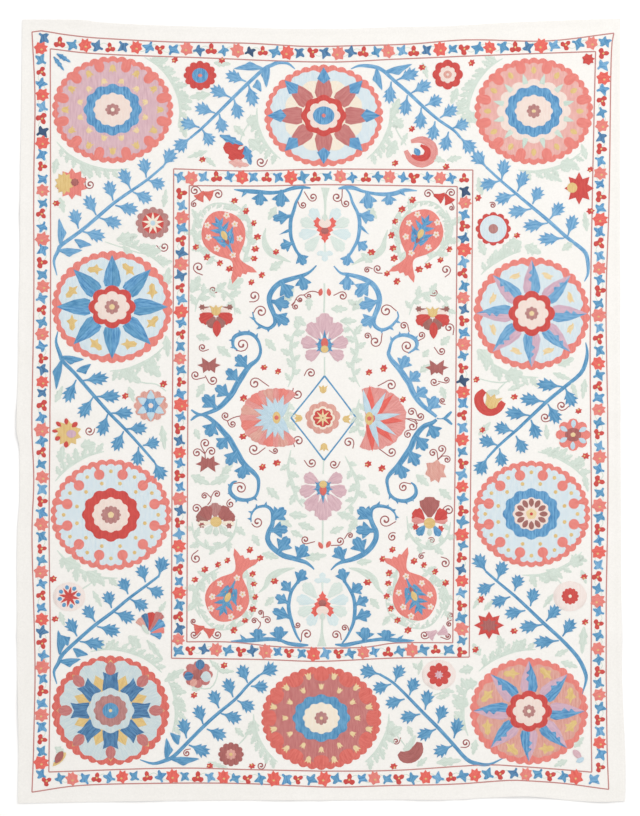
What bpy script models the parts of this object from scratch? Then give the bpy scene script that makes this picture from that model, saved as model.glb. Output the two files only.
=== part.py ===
"""An embroidered suzani coverlet: one hemmed cotton cloth, lying flat with its storage folds still in it.

Metres, +Z up. The origin is under the middle of the cloth, on the surface that it lies on.
+Y runs towards the head of the cloth and +X to the right of someone who looks down at it.
"""

import math

import bmesh
import bpy

# Driving dimensions
HALF_WIDTH = 1.014
HALF_LENGTH = 1.307
CLOTH_THICKNESS = 0.0020
HEM_WIDTH = 0.012
HEM_STEP = 0.0025
HEM_EXTRA = 0.0008
WIDEST_CELL = 0.105

# Each side's edge as it lies: place along the side, distance of the edge from the middle of the cloth
HEAD_EDGE = (
    (-1.00, 1.304), (-0.82, 1.303), (-0.74, 1.294), (-0.57, 1.285), (-0.40, 1.280), (-0.24, 1.276),
    (-0.07, 1.273), (0.09, 1.274), (0.26, 1.279), (0.43, 1.281), (0.59, 1.292), (0.76, 1.299),
    (0.93, 1.305), (1.00, 1.307),
)
FOOT_EDGE = (
    (-1.00, 1.307), (-0.74, 1.302), (-0.49, 1.298), (-0.24, 1.297), (0.01, 1.297), (0.26, 1.295),
    (0.43, 1.295), (0.59, 1.287), (0.68, 1.283), (0.76, 1.289), (0.84, 1.298), (0.93, 1.302),
    (1.00, 1.300),
)
LEFT_EDGE = (
    (-1.30, 1.010), (-1.09, 1.008), (-0.83, 1.012), (-0.42, 1.012), (-0.30, 1.004), (-0.16, 1.004),
    (-0.11, 1.006), (-0.05, 1.014), (0.11, 1.010), (0.37, 1.006), (0.51, 1.003), (0.77, 1.002),
    (1.04, 0.998), (1.30, 0.995),
)
RIGHT_EDGE = (
    (-1.30, 1.012), (-1.22, 1.014), (-1.09, 1.011), (-0.96, 1.005), (-0.83, 1.002), (-0.56, 1.000),
    (-0.29, 0.999), (0.11, 0.997), (0.64, 0.996), (1.17, 0.996), (1.30, 0.997),
)

# Storage folds, pressed in when the cloth lay in quarters: where they cross, how high and how wide they stand
ACROSS_FOLDS = (  # y, height, half_width
    (0.655, 0.0016, 0.040),
    (0.000, 0.0030, 0.048),
    (-0.750, 0.0018, 0.042),
)
LENGTHWAYS_FOLDS = (  # x, height, half_width
    (-0.455, 0.0014, 0.036),
    (0.003, 0.0020, 0.042),
    (0.478, 0.0018, 0.038),
)

# Places where the cloth doesn't lie quite down: middle, reach in x and in y, height
BUCKLES = (  # x, y, reach_x, reach_y, height
    (0.68, -1.30, 0.15, 0.15, 0.0070),
    (0.94, -1.26, 0.12, 0.20, 0.0050),
    (0.35, -1.30, 0.13, 0.10, 0.0035),
    (-0.12, -1.30, 0.15, 0.09, 0.0030),
    (-0.60, -1.29, 0.16, 0.10, 0.0035),
    (-0.99, -1.00, 0.10, 0.16, 0.0040),
    (-1.00, -0.07, 0.10, 0.09, 0.0060),
    (-1.00, 0.66, 0.09, 0.10, 0.0030),
    (0.99, -0.75, 0.10, 0.14, 0.0040),
    (0.98, 0.40, 0.09, 0.12, 0.0030),
    (-0.30, 1.28, 0.15, 0.10, 0.0030),
    (0.40, 1.28, 0.14, 0.10, 0.0035),
)

COTTON_COLOUR = (0.905, 0.885, 0.845, 1.0)
COTTON_ROUGHNESS = 0.9


def start_with_an_empty_scene():
    for old in list(bpy.data.objects):
        bpy.data.objects.remove(old, do_unlink=True)


def smooth_read(table, place):
    """Reads a table of (place, value) rows with a smooth curve through its rows."""
    places = [row[0] for row in table]
    values = [row[1] for row in table]
    last = len(table) - 1
    if place <= places[0]:
        return values[0]
    if place >= places[last]:
        return values[last]
    i = max(k for k in range(last) if places[k] <= place)

    def slope(k):
        before, after = max(k - 1, 0), min(k + 1, last)
        return (values[after] - values[before]) / (places[after] - places[before])

    span = places[i + 1] - places[i]
    t = (place - places[i]) / span
    start_share = 2 * t**3 - 3 * t**2 + 1
    start_lean = (t**3 - 2 * t**2 + t) * span
    end_lean = (t**3 - t**2) * span
    return (
        start_share * values[i]
        + (1 - start_share) * values[i + 1]
        + start_lean * slope(i)
        + end_lean * slope(i + 1)
    )


def on_the_outline(x, y):
    """Moves a point of the plain rectangle to where the uneven cloth has it."""
    across = x / HALF_WIDTH
    along = y / HALF_LENGTH
    right = smooth_read(RIGHT_EDGE, y)
    left = -smooth_read(LEFT_EDGE, y)
    head = smooth_read(HEAD_EDGE, x)
    foot = -smooth_read(FOOT_EDGE, x)
    return (
        left + (right - left) * (across + 1) / 2,
        foot + (head - foot) * (along + 1) / 2,
    )


def swell(distance, reach):
    """A soft rise: 1 at distance 0, down to 0 at the reach, level at both."""
    return math.cos(math.pi / 2 * min(abs(distance) / reach, 1.0)) ** 2


def lift(x, y):
    """How far the cloth's underside is off the surface."""
    height = 0.0
    for fold_y, fold_height, half_width in ACROSS_FOLDS:
        height += fold_height * swell(y - fold_y, half_width)
    for fold_x, fold_height, half_width in LENGTHWAYS_FOLDS:
        height += fold_height * swell(x - fold_x, half_width)
    for middle_x, middle_y, reach_x, reach_y, buckle_height in BUCKLES:
        share = swell(x - middle_x, reach_x) * swell(y - middle_y, reach_y)
        height += buckle_height * share
    return height


def hem_thickness(x, y):
    """The cloth is turned in at its edge, so a narrow band there is thicker."""
    from_edge = min(HALF_WIDTH - abs(x), HALF_LENGTH - abs(y))
    is_hem = from_edge <= HEM_WIDTH + HEM_STEP / 4
    return CLOTH_THICKNESS + (HEM_EXTRA if is_hem else 0.0)


def stations(half, folds):
    """The grid lines along one side: edges, hem, each fold's crest, flanks and feet, and what lies between."""
    hem_lines = (half, half - HEM_WIDTH, half - HEM_WIDTH - HEM_STEP)
    lines = set(hem_lines) | {-line for line in hem_lines}
    for place, _, half_width in folds:
        lines |= {place + share * half_width for share in (-1.0, -0.5, 0.0, 0.5, 1.0)}
    fixed = sorted(lines)
    filled = [fixed[0]]
    for low, high in zip(fixed, fixed[1:]):
        cells = math.ceil((high - low) / WIDEST_CELL)
        filled += [low + (high - low) * k / cells for k in range(1, cells + 1)]
    return filled


def cotton_material():
    material = bpy.data.materials.new("plain_woven_cotton")
    material.use_nodes = True
    shader = material.node_tree.nodes["Principled BSDF"]
    shader.inputs["Base Color"].default_value = COTTON_COLOUR
    shader.inputs["Roughness"].default_value = COTTON_ROUGHNESS
    shader.inputs["Metallic"].default_value = 0.0
    material.diffuse_color = COTTON_COLOUR
    return material


def make_cloth():
    """The whole cloth, hem included, as one sheet of even thickness on its own folds."""
    columns = stations(HALF_WIDTH, LENGTHWAYS_FOLDS)
    rows = stations(HALF_LENGTH, ACROSS_FOLDS)
    sheet = bmesh.new()
    underside = [[sheet.verts.new((x, y, 0.0)) for x in columns] for y in rows]
    for low, high in zip(underside, underside[1:]):
        for k in range(len(columns) - 1):
            sheet.faces.new((low[k], low[k + 1], high[k + 1], high[k]))
    raised = bmesh.ops.extrude_face_region(sheet, geom=sheet.faces[:], use_keep_orig=True)
    topside = {piece for piece in raised["geom"] if isinstance(piece, bmesh.types.BMVert)}
    for point in sheet.verts:
        x, y = point.co.x, point.co.y
        height = lift(x, y)
        if point in topside:
            height += hem_thickness(x, y)
        point.co = (*on_the_outline(x, y), height)
    bmesh.ops.recalc_face_normals(sheet, faces=sheet.faces)
    mesh = bpy.data.meshes.new("suzani_cloth")
    sheet.to_mesh(mesh)
    sheet.free()
    mesh.shade_smooth()
    mesh.set_sharp_from_angle(angle=math.radians(35))
    mesh.materials.append(cotton_material())
    cloth = bpy.data.objects.new("suzani_cloth", mesh)
    bpy.context.scene.collection.objects.link(cloth)
    return cloth


def main():
    start_with_an_empty_scene()
    make_cloth()


main()
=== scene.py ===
"""A suzani coverlet, finished: plain cotton ground, silk chain stitch over it, seen from straight above.

Places and sizes in the tables are centimetres on the cloth, measured from its middle:
x to the right, y towards its head. Meshes are in metres.
"""

import itertools
import math
import random

import bpy
import numpy as np
from mathutils import Matrix, Vector


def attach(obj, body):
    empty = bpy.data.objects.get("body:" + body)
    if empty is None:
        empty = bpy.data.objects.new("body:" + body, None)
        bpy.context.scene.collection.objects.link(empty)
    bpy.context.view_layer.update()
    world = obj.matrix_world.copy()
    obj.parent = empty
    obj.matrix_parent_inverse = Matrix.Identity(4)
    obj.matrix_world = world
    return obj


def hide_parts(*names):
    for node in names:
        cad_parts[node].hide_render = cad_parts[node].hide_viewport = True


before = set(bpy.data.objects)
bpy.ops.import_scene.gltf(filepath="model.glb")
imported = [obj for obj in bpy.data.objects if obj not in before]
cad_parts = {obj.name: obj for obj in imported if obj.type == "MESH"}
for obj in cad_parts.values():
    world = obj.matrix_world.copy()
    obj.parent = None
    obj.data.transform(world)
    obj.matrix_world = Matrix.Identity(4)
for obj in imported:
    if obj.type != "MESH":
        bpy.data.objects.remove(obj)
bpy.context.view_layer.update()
hand = random.Random(1887)

CM = 0.01

# The cloth, as its solid has it
HALF_WIDTH = 1.014
HALF_LENGTH = 1.307
CLOTH_THICKNESS = 0.0020
HEM_WIDTH = 0.012
HEM_STEP = 0.0025
HEM_EXTRA = 0.0008
EDGE_ROUNDING = 0.004
CLOTH_CELL = 0.0125

HEAD_EDGE = (
    (-1.00, 1.304), (-0.82, 1.303), (-0.74, 1.294), (-0.57, 1.285), (-0.40, 1.280), (-0.24, 1.276),
    (-0.07, 1.273), (0.09, 1.274), (0.26, 1.279), (0.43, 1.281), (0.59, 1.292), (0.76, 1.299),
    (0.93, 1.305), (1.00, 1.307),
)
FOOT_EDGE = (
    (-1.00, 1.307), (-0.74, 1.302), (-0.49, 1.298), (-0.24, 1.297), (0.01, 1.297), (0.26, 1.295),
    (0.43, 1.295), (0.59, 1.287), (0.68, 1.283), (0.76, 1.289), (0.84, 1.298), (0.93, 1.302),
    (1.00, 1.300),
)
LEFT_EDGE = (
    (-1.30, 1.010), (-1.09, 1.008), (-0.83, 1.012), (-0.42, 1.012), (-0.30, 1.004), (-0.16, 1.004),
    (-0.11, 1.006), (-0.05, 1.014), (0.11, 1.010), (0.37, 1.006), (0.51, 1.003), (0.77, 1.002),
    (1.04, 0.998), (1.30, 0.995),
)
RIGHT_EDGE = (
    (-1.30, 1.012), (-1.22, 1.014), (-1.09, 1.011), (-0.96, 1.005), (-0.83, 1.002), (-0.56, 1.000),
    (-0.29, 0.999), (0.11, 0.997), (0.64, 0.996), (1.17, 0.996), (1.30, 0.997),
)
ACROSS_FOLDS = (  # y, height, half_width
    (0.655, 0.0016, 0.040),
    (0.000, 0.0030, 0.048),
    (-0.750, 0.0018, 0.042),
)
LENGTHWAYS_FOLDS = (  # x, height, half_width
    (-0.455, 0.0014, 0.036),
    (0.003, 0.0020, 0.042),
    (0.478, 0.0018, 0.038),
)
FOLD_STATIONS = (-1.0, -0.72, -0.5, -0.25, 0.0, 0.25, 0.5, 0.72, 1.0)
BUCKLES = (  # x, y, reach_x, reach_y, height
    (0.68, -1.30, 0.15, 0.15, 0.0070),
    (0.94, -1.26, 0.12, 0.20, 0.0050),
    (0.35, -1.30, 0.13, 0.10, 0.0035),
    (-0.12, -1.30, 0.15, 0.09, 0.0030),
    (-0.60, -1.29, 0.16, 0.10, 0.0035),
    (-0.99, -1.00, 0.10, 0.16, 0.0040),
    (-1.00, -0.07, 0.10, 0.09, 0.0060),
    (-1.00, 0.66, 0.09, 0.10, 0.0030),
    (0.99, -0.75, 0.10, 0.14, 0.0040),
    (0.98, 0.40, 0.09, 0.12, 0.0030),
    (-0.30, 1.28, 0.15, 0.10, 0.0030),
    (0.40, 1.28, 0.14, 0.10, 0.0035),
)
# The stitching draws the cloth up a little
PUCKERS = (  # wave length, direction in degrees, start in degrees, height
    (0.131, 162, 40, 0.00010),
    (0.187, 48, 310, 0.00024),
    (0.262, 100, 160, 0.00034),
)
DEEPEST_PUCKER = 0.0006

# Needlework: how deep a patch sits in the cloth, and how far it stands above it
SUNK = 0.0006
WALL = 0.0006
CROWN = 0.0003
LAYER = 0.0003
ROUNDED_EDGE = 0.0009
WIDE_CELL = 0.025
EDGE_SHARE = 0.06
LINE_WIDTH = 0.40
MERGE_REACH = 0.00002
CLOTH_SMOOTH_UNDER = 40  # degrees
SILK_SMOOTH_UNDER = 50
STREAK_SHIFT = (1.7, 2.3)  # moves each copy's streaks, so that no two shade alike


def curve_through(points, steps, closed=False):
    """A smooth curve through points, steps short pieces between each two."""
    last = len(points)
    ends = range(last if closed else last - 1)
    made = []
    for i in ends:
        if closed:
            a, b, c, d = (points[(i + k) % last] for k in (-1, 0, 1, 2))
        else:
            b, c = points[i], points[i + 1]
            a = points[i - 1] if i else [2 * p - q for p, q in zip(b, c)]
            d = points[i + 2] if i + 2 < last else [2 * q - p for p, q in zip(b, c)]
        for step in range(steps):
            t = step / steps
            made.append(tuple(
                0.5 * (
                    2 * q
                    + (r - p) * t
                    + (2 * p - 5 * q + 4 * r - s) * t**2
                    + (3 * q - p - 3 * r + s) * t**3
                )
                for p, q, r, s in zip(a, b, c, d)
            ))
    if not closed:
        made.append(tuple(points[-1]))
    return made


def fine_table(table):
    """An edge table read finely enough to be looked up in straight steps."""
    rows = curve_through(table, 8)
    return np.array([row[0] for row in rows]), np.array([row[1] for row in rows])


EDGES = {
    "head": fine_table(HEAD_EDGE),
    "foot": fine_table(FOOT_EDGE),
    "left": fine_table(LEFT_EDGE),
    "right": fine_table(RIGHT_EDGE),
}


def on_the_outline(x, y):
    """Moves points of the plain rectangle to where the uneven cloth has them."""
    right = np.interp(y, *EDGES["right"])
    left = -np.interp(y, *EDGES["left"])
    head = np.interp(x, *EDGES["head"])
    foot = -np.interp(x, *EDGES["foot"])
    return (
        left + (right - left) * (x / HALF_WIDTH + 1) / 2,
        foot + (head - foot) * (y / HALF_LENGTH + 1) / 2,
    )


def off_the_outline(x, y):
    """The point of the plain rectangle that lies at x, y on the uneven cloth."""
    plain_x, plain_y = x, y
    for _ in range(3):
        moved_x, moved_y = on_the_outline(plain_x, plain_y)
        plain_x = plain_x + x - moved_x
        plain_y = plain_y + y - moved_y
    return plain_x, plain_y


def swell(distance, reach):
    return np.cos(math.pi / 2 * np.minimum(np.abs(distance) / reach, 1.0)) ** 2


def lift(x, y):
    """How far the underside of the plain rectangle's point x, y is off the surface."""
    height = np.zeros_like(x)
    for fold_y, fold_height, half_width in ACROSS_FOLDS:
        height += fold_height * swell(y - fold_y, half_width)
    for fold_x, fold_height, half_width in LENGTHWAYS_FOLDS:
        height += fold_height * swell(x - fold_x, half_width)
    for middle_x, middle_y, reach_x, reach_y, buckle_height in BUCKLES:
        height += buckle_height * swell(x - middle_x, reach_x) * swell(y - middle_y, reach_y)
    return height


def pucker(x, y):
    """The small unevenness of a stitched cloth, on its upper side alone."""
    height = np.zeros_like(x)
    for length, direction, start, rise in PUCKERS:
        along = x * math.cos(math.radians(direction)) + y * math.sin(math.radians(direction))
        height += rise * np.sin(2 * math.pi * along / length + math.radians(start))
    return height


def deselect_all():
    bpy.ops.object.select_all(action="DESELECT")


def face_outwards():
    """Ends an edit with every face of the shape turned outwards."""
    bpy.ops.mesh.select_all(action="SELECT")
    bpy.ops.mesh.normals_make_consistent(inside=False)
    bpy.ops.object.mode_set(mode="OBJECT")


def points_of(mesh):
    flat = np.empty(len(mesh.vertices) * 3)
    mesh.vertices.foreach_get("co", flat)
    return flat.reshape(-1, 3)


def set_points(mesh, points):
    mesh.vertices.foreach_set("co", points.ravel())
    mesh.update()


# Materials


def linear(hex_colour):
    """An sRGB hex value as the linear colour that a shader takes."""
    parts = [int(hex_colour[i:i + 2], 16) / 255 for i in (0, 2, 4)]
    return tuple(p / 12.92 if p <= 0.04045 else ((p + 0.055) / 1.055) ** 2.4 for p in parts) + (1.0,)


def add_node(material, kind, settings=None, links=None):
    """A node of this kind in the material, with its properties or sockets set and its inputs linked."""
    made = material.node_tree.nodes.new(kind)
    for name, value in (settings or {}).items():
        if isinstance(name, str) and hasattr(made, name):
            setattr(made, name, value)
        else:
            made.inputs[name].default_value = value
    for name, output in (links or {}).items():
        material.node_tree.links.new(output, made.inputs[name])
    return made


def new_material(name):
    material = bpy.data.materials.new(name)
    material.use_nodes = True
    return material, material.node_tree.nodes["Principled BSDF"]


THREAD_PITCH_MM = 0.9
STITCH_ROW_MM = 2.6
STITCH_LENGTH_MM = 3.4
WAVE_LENGTH = 6.283  # of a wave texture at scale 1


def woven_cotton():
    """Hand-loomed plain cotton: a matt, slightly slubby weave, drawn at 0.9 mm, twice as coarse as it is."""
    material, shader = new_material("plain_woven_cotton")
    place = add_node(material, "ShaderNodeTexCoord").outputs["Object"]
    per_metre = 1000 / THREAD_PITCH_MM
    warp = add_node(
        material, "ShaderNodeTexWave",
        {"bands_direction": "X", "Scale": per_metre / WAVE_LENGTH, "Distortion": 0.6, "Detail": 1.0},
        {"Vector": place},
    )
    weft = add_node(
        material, "ShaderNodeTexWave",
        {"bands_direction": "Y", "Scale": per_metre / WAVE_LENGTH, "Distortion": 0.6, "Detail": 1.0},
        {"Vector": place},
    )
    weave = add_node(
        material, "ShaderNodeMath", {"operation": "ADD"}, {0: warp.outputs["Fac"], 1: weft.outputs["Fac"]}
    )
    slub = add_node(
        material, "ShaderNodeTexNoise", {"Scale": 9.0, "Detail": 6.0, "Roughness": 0.6}, {"Vector": place}
    )
    fine = add_node(
        material, "ShaderNodeTexNoise", {"Scale": 160.0, "Detail": 3.0, "Roughness": 0.7}, {"Vector": place}
    )
    tone = add_node(
        material, "ShaderNodeMix", {"data_type": "RGBA", "blend_type": "MIX"}, {0: slub.outputs["Fac"]}
    )
    tone.inputs[6].default_value = linear("E9E6E0")
    tone.inputs[7].default_value = linear("F1EEEA")
    specks = add_node(
        material, "ShaderNodeMapRange",
        {"From Min": 0.35, "From Max": 0.7, "To Min": 0.965, "To Max": 1.02},
        {"Value": fine.outputs["Fac"]},
    )
    shaded = add_node(
        material, "ShaderNodeVectorMath", {"operation": "SCALE"},
        {0: tone.outputs[2], "Scale": specks.outputs["Result"]},
    )
    bump = add_node(
        material, "ShaderNodeBump", {"Strength": 0.35, "Distance": 0.0004}, {"Height": weave.outputs["Value"]}
    )
    material.node_tree.links.new(shaded.outputs["Vector"], shader.inputs["Base Color"])
    material.node_tree.links.new(bump.outputs["Normal"], shader.inputs["Normal"])
    shader.inputs["Roughness"].default_value = 0.92
    shader.inputs["Specular IOR Level"].default_value = 0.25
    shader.inputs["Sheen Weight"].default_value = 0.15
    return material


def stitched_silk(name, shade, second_shade, mottle=0.36):
    """Silk floss in rows of chain stitch: a soft gloss, and a ridge for each row with a dip at each link,
    with painted shade darkening the colour in the dips.

    Rows are 2.6 mm apart and links 3.4 mm long, along the piece's own stitch map, which is in centimetres.
    Each dye lot came out uneven, so the two shades mix in streaks along the rows.
    """
    material, shader = new_material(name)
    rows = add_node(material, "ShaderNodeUVMap", {"uv_map": "stitches"}).outputs["UV"]
    spread = add_node(
        material, "ShaderNodeTexNoise", {"Scale": 1.1, "Detail": 3.0, "Roughness": 0.6}, {"Vector": rows}
    )
    wander = add_node(
        material, "ShaderNodeVectorMath", {"operation": "SCALE", "Scale": 0.12},
        {0: spread.outputs["Color"]},
    )
    bent = add_node(
        material, "ShaderNodeVectorMath", {"operation": "ADD"}, {0: rows, 1: wander.outputs["Vector"]}
    ).outputs["Vector"]
    ridge = add_node(
        material, "ShaderNodeTexWave",
        {"bands_direction": "Y", "Scale": 10 / STITCH_ROW_MM / WAVE_LENGTH * 2},
        {"Vector": bent},
    )
    link = add_node(
        material, "ShaderNodeTexWave",
        {"bands_direction": "DIAGONAL", "Scale": 10 / STITCH_LENGTH_MM / WAVE_LENGTH * 2},
        {"Vector": bent},
    )
    relief = add_node(
        material, "ShaderNodeMath", {"operation": "MULTIPLY_ADD", 1: 0.45},
        {0: link.outputs["Fac"], 2: ridge.outputs["Fac"]},
    )
    streak_place = add_node(
        material, "ShaderNodeMapping", {"Scale": (0.20, 1.25, 1.0)}, {"Vector": rows}
    )
    streak = add_node(
        material, "ShaderNodeTexNoise", {"Scale": 1.5, "Detail": 5.0, "Roughness": 0.7},
        {"Vector": streak_place.outputs["Vector"]},
    )
    share = add_node(
        material, "ShaderNodeMapRange",
        {"From Min": 0.5 - 0.28 * mottle, "From Max": 0.5 + 0.34 * mottle},
        {"Value": streak.outputs["Fac"]},
    )
    tone = add_node(
        material, "ShaderNodeMix", {"data_type": "RGBA", "blend_type": "MIX"}, {0: share.outputs["Result"]}
    )
    tone.inputs[6].default_value = linear(shade)
    tone.inputs[7].default_value = linear(second_shade)
    # Painted shade: the thread's colour is darkened to 0.80 of itself in the dips between rows and links,
    # where the relief is low
    painted_valley_shade = add_node(
        material, "ShaderNodeMapRange", {"From Max": 1.3, "To Min": 0.80, "To Max": 1.05},
        {"Value": relief.outputs["Value"]},
    )
    shaded = add_node(
        material, "ShaderNodeVectorMath", {"operation": "SCALE"},
        {0: tone.outputs[2], "Scale": painted_valley_shade.outputs["Result"]},
    )
    bump = add_node(
        material, "ShaderNodeBump", {"Strength": 0.6, "Distance": 0.0008}, {"Height": relief.outputs["Value"]}
    )
    material.node_tree.links.new(shaded.outputs["Vector"], shader.inputs["Base Color"])
    material.node_tree.links.new(bump.outputs["Normal"], shader.inputs["Normal"])
    shader.inputs["Roughness"].default_value = 0.55
    shader.inputs["Specular IOR Level"].default_value = 0.3
    shader.inputs["Sheen Weight"].default_value = 0.2
    shader.inputs["Sheen Roughness"].default_value = 0.4
    return material


THREADS = {  # name: main shade, second shade
    "coral": ("ED8C82", "E17A71"),
    "bright_coral": ("E2766B", "D46158"),
    "poppy": ("EE7166", "E05D53"),
    "rose": ("E8A19A", "DB8A85"),
    "dusty_rose": ("E3A59D", "EEBCB4"),
    "dusty_red": ("BE6E6C", "CC8480"),
    "brick": ("D8968B", "E4B1A2"),
    "red": ("D5514B", "C64440"),
    "burgundy": ("B46C68", "A15A57"),
    "old_rose": ("C28C88", "AC7572"),
    "brown": ("A9706A", "96605A"),
    "lilac": ("DFBDC3", "CFA7B1"),
    "mauve": ("D9B6C4", "C6A2B6"),
    "blush": ("F3E2D8", "EFD9CE"),
    "petal_pink": ("F5E9E3", "F0DFD8"),
    "cream": ("F2E4CE", "F5EBDC"),
    "yellow": ("EFD8AC", "E7C992"),
    "ochre": ("E7C98A", "DAB773"),
    "blue": ("76AFD6", "3E7EB3"),
    "light_blue": ("86B7D9", "5391C1"),
    "mid_blue": ("6FA8CD", "4383B1"),
    "deep_blue": ("6090B9", "356592"),
    "navy": ("3F5C80", "2C4766"),
    "ice": ("DFEBEA", "D2E4E6"),
    "pale_blue": ("DFE9EC", "CFDFE7"),
    "sky_pale": ("C9DEE8", "BAD4E2"),
    "grey_blue": ("C6D6DA", "D6E0DF"),
    "mint_pale": ("D6E3DB", "E2EAE3"),
    "mint": ("C6D9CC", "D5E3D8"),
    "sage": ("CDDACE", "DCE6DC"),
    "line_red": ("C98D88", "BF7F7B"),
    "curl_red": ("A9605F", "9B5353"),
}
silks = {name: stitched_silk("silk_" + name, *shades) for name, shades in THREADS.items()}
cotton = woven_cotton()


# The cloth


def stations(half, folds):
    """The grid lines along one side of the cloth: its edges, its hem, its folds, and what lies between."""
    hem_lines = (half, half - EDGE_ROUNDING, half - HEM_WIDTH, half - HEM_WIDTH - HEM_STEP)
    lines = set(hem_lines) | {-line for line in hem_lines}
    for place, _, half_width in folds:
        lines |= {place + share * half_width for share in FOLD_STATIONS}
    fixed = sorted(lines)
    filled = [fixed[0]]
    for low, high in zip(fixed, fixed[1:]):
        cells = math.ceil((high - low) / CLOTH_CELL)
        filled += [low + (high - low) * k / cells for k in range(1, cells + 1)]
    return np.array(filled)


def hem_thickness(x, y):
    from_edge = np.minimum(HALF_WIDTH - np.abs(x), HALF_LENGTH - np.abs(y))
    return CLOTH_THICKNESS + np.where(from_edge <= HEM_WIDTH + HEM_STEP / 4, HEM_EXTRA, 0.0)


def make_cloth():
    """The whole cloth, hem included: a fine grid laid on the folds, then given its thickness."""
    columns = stations(HALF_WIDTH, LENGTHWAYS_FOLDS)
    rows = stations(HALF_LENGTH, ACROSS_FOLDS)
    deselect_all()
    bpy.ops.mesh.primitive_grid_add(x_subdivisions=len(columns) - 1, y_subdivisions=len(rows) - 1, size=1)
    cloth = bpy.context.object
    cloth.name = "cotton_cloth"
    bpy.ops.object.mode_set(mode="EDIT")
    bpy.ops.mesh.select_all(action="SELECT")
    bpy.ops.mesh.extrude_region_move(TRANSFORM_OT_translate={"value": (0, 0, CLOTH_THICKNESS)})
    bpy.ops.object.mode_set(mode="OBJECT")
    spots = points_of(cloth.data)
    column = np.rint((spots[:, 0] + 0.5) * (len(columns) - 1)).astype(int)
    row = np.rint((spots[:, 1] + 0.5) * (len(rows) - 1)).astype(int)
    is_top = spots[:, 2] > CLOTH_THICKNESS / 2
    x, y = columns[column], rows[row]
    laid_x, laid_y = on_the_outline(x, y)
    over = hem_thickness(x, y) + np.maximum(pucker(laid_x, laid_y), -DEEPEST_PUCKER)
    set_points(cloth.data, np.column_stack((laid_x, laid_y, lift(x, y) + np.where(is_top, over, 0.0))))
    bpy.ops.object.mode_set(mode="EDIT")
    face_outwards()
    bpy.ops.object.shade_smooth_by_angle(angle=math.radians(CLOTH_SMOOTH_UNDER))
    cloth.data.materials.append(cotton)
    return cloth


# Patches of filling stitch, ribbons of line stitch, and how they are laid out


def ring_outline(reach, parts):
    """A closed outline whose distance from the middle is reach(angle), in parts points."""
    made = []
    for i in range(parts):
        angle = 2 * math.pi * i / parts
        r = reach(angle)
        made.append((r * math.cos(angle), r * math.sin(angle)))
    return made


def scallops(count, depth, per_scallop=4):
    """A disc of radius 1 with count round scallops round its edge."""
    def reach(angle):
        return 1 - depth * (1 - abs(math.cos(count * angle / 2)) ** 0.8)
    return ring_outline(reach, count * per_scallop)


def wavy(count, depth, per_wave=6):
    """A disc of radius 1 with count soft waves round its edge."""
    def reach(angle):
        return 1 - depth * (1 - math.cos(count * angle)) / 2
    return ring_outline(reach, count * per_wave)


def star(tips, inner, first=0.0):
    """A star with tips points of reach 1 and notches at inner."""
    made = []
    for i in range(2 * tips):
        angle = math.radians(first) + math.pi * i / tips
        r = inner if i % 2 else 1.0
        made.append((r * math.cos(angle), r * math.sin(angle)))
    return made


def mirrored(half):
    """The whole outline of a shape that is even about its length, from its side above the x axis."""
    below = [(x, -y) for x, y in half if abs(y) > 1e-9]
    return below + list(reversed(half))


def add_stitch_map(mesh, places):
    """Gives a mesh its stitch map, in centimetres, from one place for each of its points."""
    corners = np.empty(len(mesh.loops), int)
    mesh.loops.foreach_get("vertex_index", corners)
    for old in list(mesh.uv_layers):
        mesh.uv_layers.remove(old)
    stitch_map = mesh.uv_layers.new(name="stitches")
    stitch_map.data.foreach_set("uv", places[corners].ravel())


def patch(outline, thread, size):
    """Models one patch of filling stitch, size centimetres for each 1 of its outline.

    It is sunk in the cloth, raised above it, and rounded over its edge. Its rows run along x.
    """
    area = sum(p[0] * q[1] - q[0] * p[1] for p, q in zip(outline, outline[1:] + outline[:1]))
    turned_right = outline if area > 0 else list(reversed(outline))
    deselect_all()
    bpy.ops.mesh.primitive_circle_add(vertices=len(outline), radius=1, fill_type="NGON")
    made = bpy.context.object
    for point, (x, y) in zip(made.data.vertices, turned_right):
        point.co = (x * size * CM, y * size * CM, -SUNK)
    made.data.update()
    if made.data.polygons[0].normal.z < 0:
        made.data.flip_normals()
    bpy.ops.object.mode_set(mode="EDIT")
    bpy.ops.mesh.select_all(action="SELECT")
    bpy.ops.mesh.extrude_region_move(TRANSFORM_OT_translate={"value": (0, 0, SUNK + WALL)})
    bpy.ops.mesh.inset(thickness=min(ROUNDED_EDGE, EDGE_SHARE * size * CM), depth=CROWN)
    face_outwards()
    add_stitch_map(made.data, points_of(made.data)[:, :2] / CM)
    made.data.materials.append(silks[thread])
    made["size"] = size
    bpy.context.scene.collection.objects.unlink(made)
    return made


RIBBON_SIDE = ((-1.0, -SUNK), (-1.0, 0.0002), (-0.62, WALL), (0.0, WALL + CROWN))
RIBBON_SECTION = RIBBON_SIDE + tuple((-x, z) for x, z in reversed(RIBBON_SIDE[:-1])) + (RIBBON_SIDE[0],)


def ribbon(route, widths, thread, steps=3, level=0):
    """Models a line or stem of stitching along a route in centimetres, tapering as its widths do."""
    spots = curve_through(route, steps)
    wide = curve_through([(w,) for w in spread_out(widths, len(route))], steps)
    return ribbon_on(spots, [max(w[0], 0.0) for w in wide], thread, level)


def spread_out(values, count):
    """values read evenly at count places."""
    return np.interp(np.linspace(0, 1, count), np.linspace(0, 1, len(values)), values)


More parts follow.
